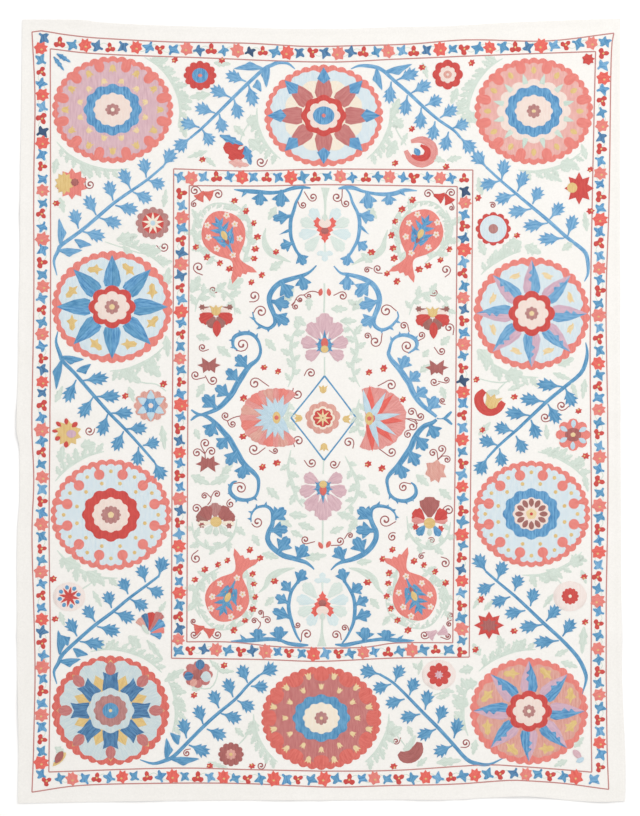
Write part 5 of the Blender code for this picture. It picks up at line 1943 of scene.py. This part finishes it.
RAISED = {-85.6: 4, -82.0: 6, 83.7: 4, -83.2: 6}  # x of the flowers that lie on others: their layer
ROUND_FLOWERS = (  # x, y, rows of kind, reach in x, reach in y, thread
    (-40.3, 111.8, (("rosette_12", 5.5, 4.9, "red"), ("disc", 2.7, 2.5, "blue"), ("dot", 0.8, 0.6, "coral"))),
    (42.2, 112.1, (
        ("ring_8", 5.1, 5.0, "red"), ("ring_8", 2.9, 2.9, "blush"), ("disc", 1.4, 1.3, "brick"),
        ("dot", 0.5, 0.5, "blush"),
    )),
    (-56.0, 62.6, (("rosette_12", 5.8, 5.4, "old_rose"),
        ("disc", 3.6, 3.5, "red"), ("disc", 1.2, 1.3, "sky_pale"))),
    (57.4, 60.7, (("rosette_12", 5.9, 5.6, "red"),
        ("disc", 4.5, 4.5, "pale_blue"), ("disc", 1.6, 1.6, "old_rose"))),
    (-56.7, 1.8, (("rosette_12", 5.7, 5.3, "brick"), ("disc", 2.9, 2.8, "blue"), ("dot", 0.9, 0.9, "blush"))),
    (84.0, -7.9, (("rosette_8", 5.8, 5.4, "coral"),
        ("disc", 2.7, 2.3, "burgundy"), ("dot", 0.9, 0.8, "yellow"))),
    (-83.9, -61.9, (("disc", 5.4, 4.8, "petal_pink"), ("disc", 1.4, 1.4, "red"))),
    (83.0, -61.7, (("disc", 5.6, 5.0, "petal_pink"),
        ("rosette_12", 2.9, 2.8, "red"), ("dot", 0.6, 0.6, "cream"))),
    (39.3, -87.9, (("disc", 5.7, 5.0, "petal_pink"), ("disc", 1.3, 1.3, "lilac"))),
    (-30.0, -114.4, (
        ("rosette_12", 4.3, 4.0, "burgundy"), ("rosette_8", 1.8, 1.8, "brick"), ("dot", 0.6, 0.6, "ochre"),
    )),
    (-41.0, -87.8, (("rosette_8", 5.0, 4.5, "dusty_red"), ("rosette_8", 2.0, 1.9, "burgundy"))),
    (-83.0, 75.7, (("star_10", 5.3, 5.2, "coral"),)),
    (-85.6, 75.9, (("star_10", 3.2, 3.9, "ochre"),)),
    (-82.0, 76.2, (("rosette_8", 1.4, 1.3, "burgundy"),)),
    (86.0, 74.2, (("star_8", 4.9, 5.4, "red"),)),
    (83.7, 74.4, (("disc", 1.7, 1.7, "ochre"),)),
    (-84.3, -7.4, (("star_10", 4.6, 4.6, "ochre"),)),
    (-83.2, -7.6, (("disc", 1.6, 1.3, "mauve"),)),
    (56.0, -71.4, (("star_8", 5.0, 4.6, "red"), ("star_8", 3.2, 2.4, "burgundy"))),
    (57.4, 6.2, (("disc", 2.2, 1.0, "sage"),)),
)
PETAL_RINGS = (  # kind, x, y, how many, first, from the middle, reach, width, thread
    ("ray", -56.0, 62.6, 9, 90, 0.8, 2.9, 1.0, "cream"),
    ("ray", -56.7, 1.8, 6, 90, 2.2, 3.0, 2.6, "sky_pale"),
    ("tear", 84.0, -7.9, 6, 88, 2.2, 2.8, 2.4, "sky_pale"),
    ("ray", -83.9, -61.9, 8, 80, 0.6, 2.9, 1.1, "red"),
    ("dot", -83.9, -61.9, 8, 58, 3.2, 0.8, 0.7, "blue"), ("tear", 39.3, -87.9, 8, 90, 1.0, 3.0, 3.6, "red"),
)
ARCS = (  # thread, level, widths, route
    ("rose", 1, (1.2, 2.6, 3.0, 2.8, 2.4, 1.4),
     ((30, 89.8), (33.6, 90.4), (37, 88.4), (37.2, 84.6), (33.6, 82.4), (30, 83.8), (28.2, 86.8))),
    ("red", 2, (0.8, 2.0, 2.6, 2.0, 0.9), ((33.2, 88.6), (35.4, 87), (35, 84.6), (32.4, 84.2), (30.2, 85.2))),
    ("red", 1, (2.0, 5.4, 6.6, 5.0, 2.6),
        ((-32.2, 86.8), (-30.6, 87.4), (-28.6, 86.6), (-26.8, 85.6), (-25.8, 84.4))),
    ("red", 1, (1.8, 3.0, 3.2, 3.0, 2.8, 2.6, 1.9),
     ((54.4, 6.8), (52.7, 4.8), (52.9, 2.2), (54.6, 0.2), (57.2, -0.2), (59.4, 1.2), (60.8, 3.0))),
    ("burgundy", 1, (1.6, 4.0, 4.6, 4.0, 1.8),
     ((26.0, -114.0), (27.8, -115.2), (30.4, -114.8), (32.2, -112.8), (32.8, -110.4))),
    ("sage", 2, (0.8, 1.8, 2.0, 1.6, 0.6),
        ((27.4, -112.8), (28.8, -112.4), (30.0, -110.8), (30.8, -109.2), (31.6, -108.2))),
)
LOOSE_LEAVES = (  # kind, foot x, y, tip x, y, width, thread
    ("tongue", -33.6, 91.8, -25.8, 88.7, 3.0, "blue"), ("tongue", -25.2, 88.2, -23.4, 82.0, 3.6, "blue"),
    ("tongue", -30.6, 83.0, -24.0, 81.8, 3.2, "dusty_rose"),
    ("tongue", -27.6, 87.2, -25.6, 88.4, 1.4, "blush"),
    ("tear", 31.2, 87.6, 32.8, 85.2, 3.0, "blue"), ("tulip", 56.2, 0.8, 57.8, 5.4, 5.6, "ochre"),
    ("tear", -40.4, -86.4, -40.2, -82.8, 4.6, "deep_blue"),
    ("tear", -42.4, -88.0, -45.6, -88.6, 4.4, "deep_blue"),
    ("tear", -40.2, -88.6, -36.6, -88.4, 5.4, "grey_blue"),
    ("tear", -41.6, -89.4, -43.2, -91.6, 3.6, "brick"),
    ("wedge", -57.6, -73.4, -60.6, -69.2, 4.4, "brick"),
    ("wedge", -57.4, -73.2, -58.6, -67.6, 3.6, "deep_blue"),
    ("wedge", -57.2, -73.0, -56.2, -67.2, 3.8, "red"),
    ("wedge", -57.0, -73.2, -53.4, -67.4, 4.2, "dusty_red"),
    ("wedge", -56.8, -73.6, -52.6, -70.2, 4.2, "blue"), ("wedge", -56.6, -73.8, -52.4, -72.6, 3.6, "coral"),
    ("wedge", -56.8, -74.2, -53.2, -75.0, 3.2, "blue"), ("tear", -57.4, -74.4, -59.6, -71.0, 2.6, "sage"),
    ("tear", -84.8, -4.6, -84.9, -2.4, 2.0, "red"), ("tear", -86.6, -5.2, -88.2, -3.6, 1.9, "red"),
    ("tear", -83.0, -5.4, -81.2, -3.8, 2.4, "red"), ("tear", -87.6, -6.8, -89.6, -6.6, 1.6, "red"),
    ("tear", -86.8, -8.6, -88.6, -9.6, 2.2, "red"), ("tear", -84.8, -10.0, -85.0, -12.2, 2.4, "red"),
    ("tear", -88.6, -117.6, -86.0, -113.4, 3.8, "burgundy"),
    ("tear", -89.4, -118.4, -85.0, -113.8, 3.2, "ochre"),
    ("tear", -89.0, -117.0, -86.6, -114.6, 1.6, "mid_blue"),
    ("tongue", -89.0, 118.0, -85.6, 113.4, 1.8, "blue"),
    ("tongue", -88.0, 119.0, -83.4, 116.2, 2.0, "blue"), ("maple", 89.0, 117.2, 91.0, 117.2, 2.0, "red"),
    ("tear", 86.8, -115.8, 84.0, -113.0, 3.2, "lilac"), ("tear", 85.0, -117.0, 87.6, -115.6, 2.6, "sky_pale"),
)
FRAME_CURLS = (
    (-77, 75.5, 1.6, -78.5, 78, -1), (-52.3, 54.7, 1.6, -54.8, 55.2, -1), (-77.2, -6.6, 1.6, -75.4, -5.8, 1),
    (57.2, 68.6, 1.0, 56.2, 69.4, 1), (80.2, 1.8, 1.7, 82.6, 1.6, 1), (74.7, -2.1, 1.6, 76.4, -3.0, 1),
    (48.2, -110.6, 1.5, 46.5, -112, -1), (-20, 83, 1.7, -17.8, 83.8, 1), (-20, -118.2, 1.3, -18.3, -117.2, 1),
    (25, -110, 1.1, 26.6, -108.8, 1), (-44.7, -114, 1.2, -43.4, -112.6, -1),
)
FRAME_BUDS = (
    (-88.2, 69.2), (-65.2, 5), (-52.5, 9), (-89.3, -56),
    (-88.6, -69.3), (52.4, 71), (65.3, 58.5), (89.8, 80.5),
    (89.8, 66.6), (51.8, 10.5), (64.4, 4.7), (53.8, -6.3),
    (85.8, 0), (88.2, -15), (87.7, -55.2), (53.3, -62.8),
    (64.3, -73.3), (88, -70.3), (51.5, -79.5), (-33, 116.8), (-39.5, 83.8), (24.7, 82.6), (41.7, 81.3),
    (33.7, 114.5), (30.3, 94), (-48.7, 117), (50.2, 116), (-32.3, -84.8), (-42.3, -94.7), (-37, -118.2),
    (-23, -118.3), (24.2, -118.4),
)


def frame_flowers():
    made = []
    for x, y, rows in ROUND_FLOWERS:
        made += layers((x, y), rows, RAISED.get(x, 2))
    for kind, x, y, count, first, away, reach, width, thread in PETAL_RINGS:
        for i in range(count):
            way = first + 360 * i / count
            made.append(copy_of(shapes[kind], *at_local(x, y, way, away, 0), way, reach, width, 5, thread))
    for thread, level, widths, route in ARCS:
        made.append(ribbon(route, widths, thread, level=level))
    for kind, x, y, tip_x, tip_y, width, thread in LOOSE_LEAVES:
        made.append(leaf_between(kind, (x, y), (tip_x, tip_y), width, thread, 4))
    sew("frame_flowers", made, WIDE_CELL)


# Everything, in the order in which it is worked

cloth = make_cloth()
border("outer_border", ("outer", "outer_inside"), BANDS[:4], CORNER_SPRIGS)
border("inner_border", ("inner", "inner_inside"), BANDS[4:], ())
for make_medallion in (
    top_left_medallion, top_medallion, top_right_medallion, upper_left_medallion, upper_right_medallion,
    lower_left_medallion, lower_right_medallion, bottom_left_medallion, bottom_medallion,
    bottom_right_medallion,
):
    make_medallion()
for number, parts in enumerate(BRANCHES, 1):
    branch(f"branch_{number}", parts, "light_blue" if parts["end"][1] > 0 else "mid_blue")

boughs()
curls("centre_curls", CENTRE_CURLS, FINE_STEMS)
jars()
diamond()
fans()
lotuses_and_palmettes()
hanging_flowers()
buds("centre_buds", CENTRE_BUDS)

frame_foliage()
centre_foliage()
frame_flowers()
curls("frame_curls", FRAME_CURLS, ())
buds("frame_buds", FRAME_BUDS)

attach(cloth, "root")
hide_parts("suzani_cloth")
for piece in finished:
    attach(piece, "root")

# Floor, light and camera

FRAME_MIDDLE = (-0.0033, 0.0100)
FRAME_HEIGHT = 2.720
LENS_MM = 100.0
SENSOR_MM = 36.0
FLOOR_SIZE = 14.0
FLOOR_LEVEL = -0.0015
ROOM_LIGHT = 0.62

deselect_all()
bpy.ops.mesh.primitive_plane_add(size=FLOOR_SIZE, location=(0, 0, FLOOR_LEVEL))
floor = bpy.context.object
floor.name = "studio_floor"
floor_paint, floor_shader = new_material("pale_floor")
floor_shader.inputs["Base Color"].default_value = linear("FBFAF9")
floor_shader.inputs["Roughness"].default_value = 0.9
floor.data.materials.append(floor_paint)

bpy.ops.object.camera_add(location=(*FRAME_MIDDLE, FRAME_HEIGHT * LENS_MM / SENSOR_MM))
camera = bpy.context.object
camera.data.lens = LENS_MM
camera.data.sensor_width = SENSOR_MM
camera.data.sensor_fit = "AUTO"
bpy.context.scene.camera = camera

LIGHTS = (  # x, y, z, size, watts
    (-3.2, 3.4, 5.2, 3.0, 72),
    (3.4, 2.6, 5.6, 4.0, 205),
    (0.0, -4.0, 5.0, 4.0, 70),
)
for x, y, z, size, watts in LIGHTS:
    bpy.ops.object.light_add(type="AREA", location=(x, y, z))
    lamp = bpy.context.object
    lamp.data.size = size
    lamp.data.energy = watts
    lamp.rotation_euler = (Vector((0, 0, 0)) - Vector((x, y, z))).to_track_quat("-Z", "Y").to_euler()

world = bpy.data.worlds.new("soft_white_room")
world.use_nodes = True
world.node_tree.nodes["Background"].inputs["Color"].default_value = linear("FFFFFF")
world.node_tree.nodes["Background"].inputs["Strength"].default_value = ROOM_LIGHT
bpy.context.scene.world = world
bpy.context.scene.view_settings.view_transform = "Standard"
